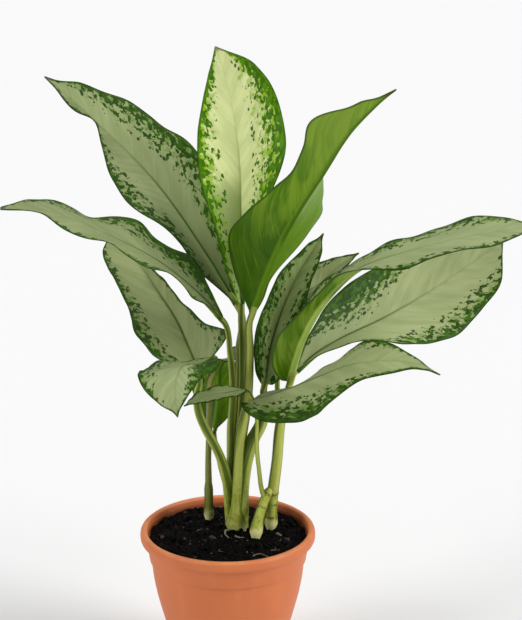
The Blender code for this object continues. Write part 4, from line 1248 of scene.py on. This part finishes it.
class EVERGREEN_OT_soil(bpy.types.Operator):
    """Fill the pot with soil, and strew crumbs, bark, grit and root threads on it"""
    bl_idname = "evergreen.soil"
    bl_label = "Soil"

    def execute(self, context):
        settings = context.scene.evergreen.soil
        rng = np.random.default_rng(settings.seed)
        paints = {"dark": soil_paint(settings), "bark": bit_paint("bark_bits", settings.bark),
                  "grit": bit_paint("grit_grains", settings.grit)}
        pieces = [soil_surface()]
        pieces[0].data.materials.append(paints["dark"])
        for name, shape, shapes, flat, count, sizes, sink, paint in STREWN:
            kinds = [crumb("%s_%d" % (shape, k), rng, flat) for k in range(shapes)]
            pieces.append(strew(name, kinds, count or settings.crumbs, rng, sizes, paints[paint], sink))
        husk = bit_paint("dry_husk", settings.husk)
        for k, (radius, root) in enumerate(ROOTS):
            points = [(x, y, soil_height(x, y) + 0.4 + radius + z) for x, y, z in root]
            pieces.append(thread("root_%d" % k, points, radius, husk))
        hand_over(joined("potting_soil", pieces), "soil", "soil")
        return {"FINISHED"}


class EVERGREEN_OT_shoots(bpy.types.Operator):
    """Grow the canes and leaf stalks"""
    bl_idname = "evergreen.shoots"
    bl_label = "Shoots"

    def execute(self, context):
        settings = context.scene.evergreen.shoots
        for name, shoot in SHOOTS.items():
            build_shoot(name, shoot, settings, stem_paint(settings, *shoot["paint"]))
        return {"FINISHED"}


class EVERGREEN_OT_leaves(bpy.types.Operator):
    """Shape the thirteen blades and paint both their faces"""
    bl_idname = "evergreen.leaves"
    bl_label = "Leaves"

    def execute(self, context):
        settings = context.scene.evergreen.leaves
        uppers = {}
        for key, look in BLADE_PAINTS.items():
            look = dict(look)
            centre = getattr(settings, look.pop("centre", "silver"))
            colours = [tinted(rgb, look.pop(part, (1, 1, 1))) for part, rgb in (
                ("silver", centre), ("green", settings.green), ("dark", settings.dark))]
            uppers[key] = blade_paint(look.pop("name"), *colours, **look)
        base = settings.under
        unders = {
            "green": underside_paint("green_underside", base, 0.8, tinted(base, (0.7, 0.8, 0.5))),
            "pale": underside_paint("pale_underside", tinted(base, (1.25, 1.1, 2.6)), 0.2,
                                    tinted(base, (2.4, 1.8, 9.0))),
        }
        for number, (name, leaf) in enumerate(LEAVES.items()):
            build_leaf(name, leaf, number, settings, uppers[leaf["paint"]], unders[leaf["under"]])
        return {"FINISHED"}


# Stage

def sun(name, towards, strength, softness, tint):
    data = bpy.data.lights.new(name, "SUN")
    data.energy = strength
    data.angle = math.radians(softness)
    data.color = tint
    add_object(name, data).rotation_euler = Vector(towards).to_track_quat("Z", "Y").to_euler()


class EVERGREEN_OT_stage(bpy.types.Operator):
    """Lay the floor, hang the lights and set up the camera"""
    bl_idname = "evergreen.stage"
    bl_label = "Stage"

    def execute(self, context):
        settings = context.scene.evergreen.stage
        floor = primitive("floor", bpy.ops.mesh.primitive_circle_add, vertices=96, radius=STAGE_RADIUS,
                          fill_type="NGON", location=(0, 0, -BELOW_POT))
        floor.data.materials.append(Paint("pale_floor", tuple(settings.floor)).finish(0.9, 0.1))
        for name, (towards, share, softness, tint) in LIGHTS.items():
            sun(name, towards, settings.side * share, softness, tint)
        world = bpy.data.worlds.new("white_studio")
        world.use_nodes = True
        background = world.node_tree.nodes["Background"]
        background.inputs["Color"].default_value = (1.0, 1.0, 1.0, 1.0)
        background.inputs["Strength"].default_value = settings.sky
        context.scene.world = world
        data = bpy.data.cameras.new("front_camera")
        data.lens = CAMERA_LENS
        data.sensor_width = 36.0
        camera = add_object("front_camera", data)
        camera.location = CAMERA_PLACE
        camera.rotation_euler = (math.radians(90 - CAMERA_DIP), 0, 0)
        context.scene.camera = camera
        context.scene.view_settings.view_transform = "Standard"
        return {"FINISHED"}


class EVERGREEN_PT_panel(bpy.types.Panel):
    bl_idname = "EVERGREEN_PT_panel"
    bl_label = "Potted Chinese evergreen"
    bl_space_type = "VIEW_3D"
    bl_region_type = "UI"
    bl_category = "Evergreen"

    def draw(self, context):
        settings = context.scene.evergreen
        for step, group in STEPS:
            box = self.layout.box()
            box.operator(step.bl_idname)
            values = getattr(settings, group)
            for name in values.__annotations__:
                box.prop(values, name)


STEPS = (
    (EVERGREEN_OT_pot, "pot"), (EVERGREEN_OT_soil, "soil"), (EVERGREEN_OT_shoots, "shoots"),
    (EVERGREEN_OT_leaves, "leaves"), (EVERGREEN_OT_stage, "stage"),
)
CLASSES = (
    LeafSettings, ShootSettings, SoilSettings, PotSettings, StageSettings, EvergreenSettings,
    *(step for step, group in STEPS), EVERGREEN_PT_panel,
)


def register():
    for kind in CLASSES:
        bpy.utils.register_class(kind)
    bpy.types.Scene.evergreen = PointerProperty(type=EvergreenSettings)


def unregister():
    del bpy.types.Scene.evergreen
    for kind in reversed(CLASSES):
        bpy.utils.unregister_class(kind)


def main():
    register()
    bpy.ops.evergreen.pot()
    bpy.ops.evergreen.soil()
    bpy.ops.evergreen.shoots()
    bpy.ops.evergreen.leaves()
    bpy.ops.evergreen.stage()


if __name__ == "__main__":
    main()
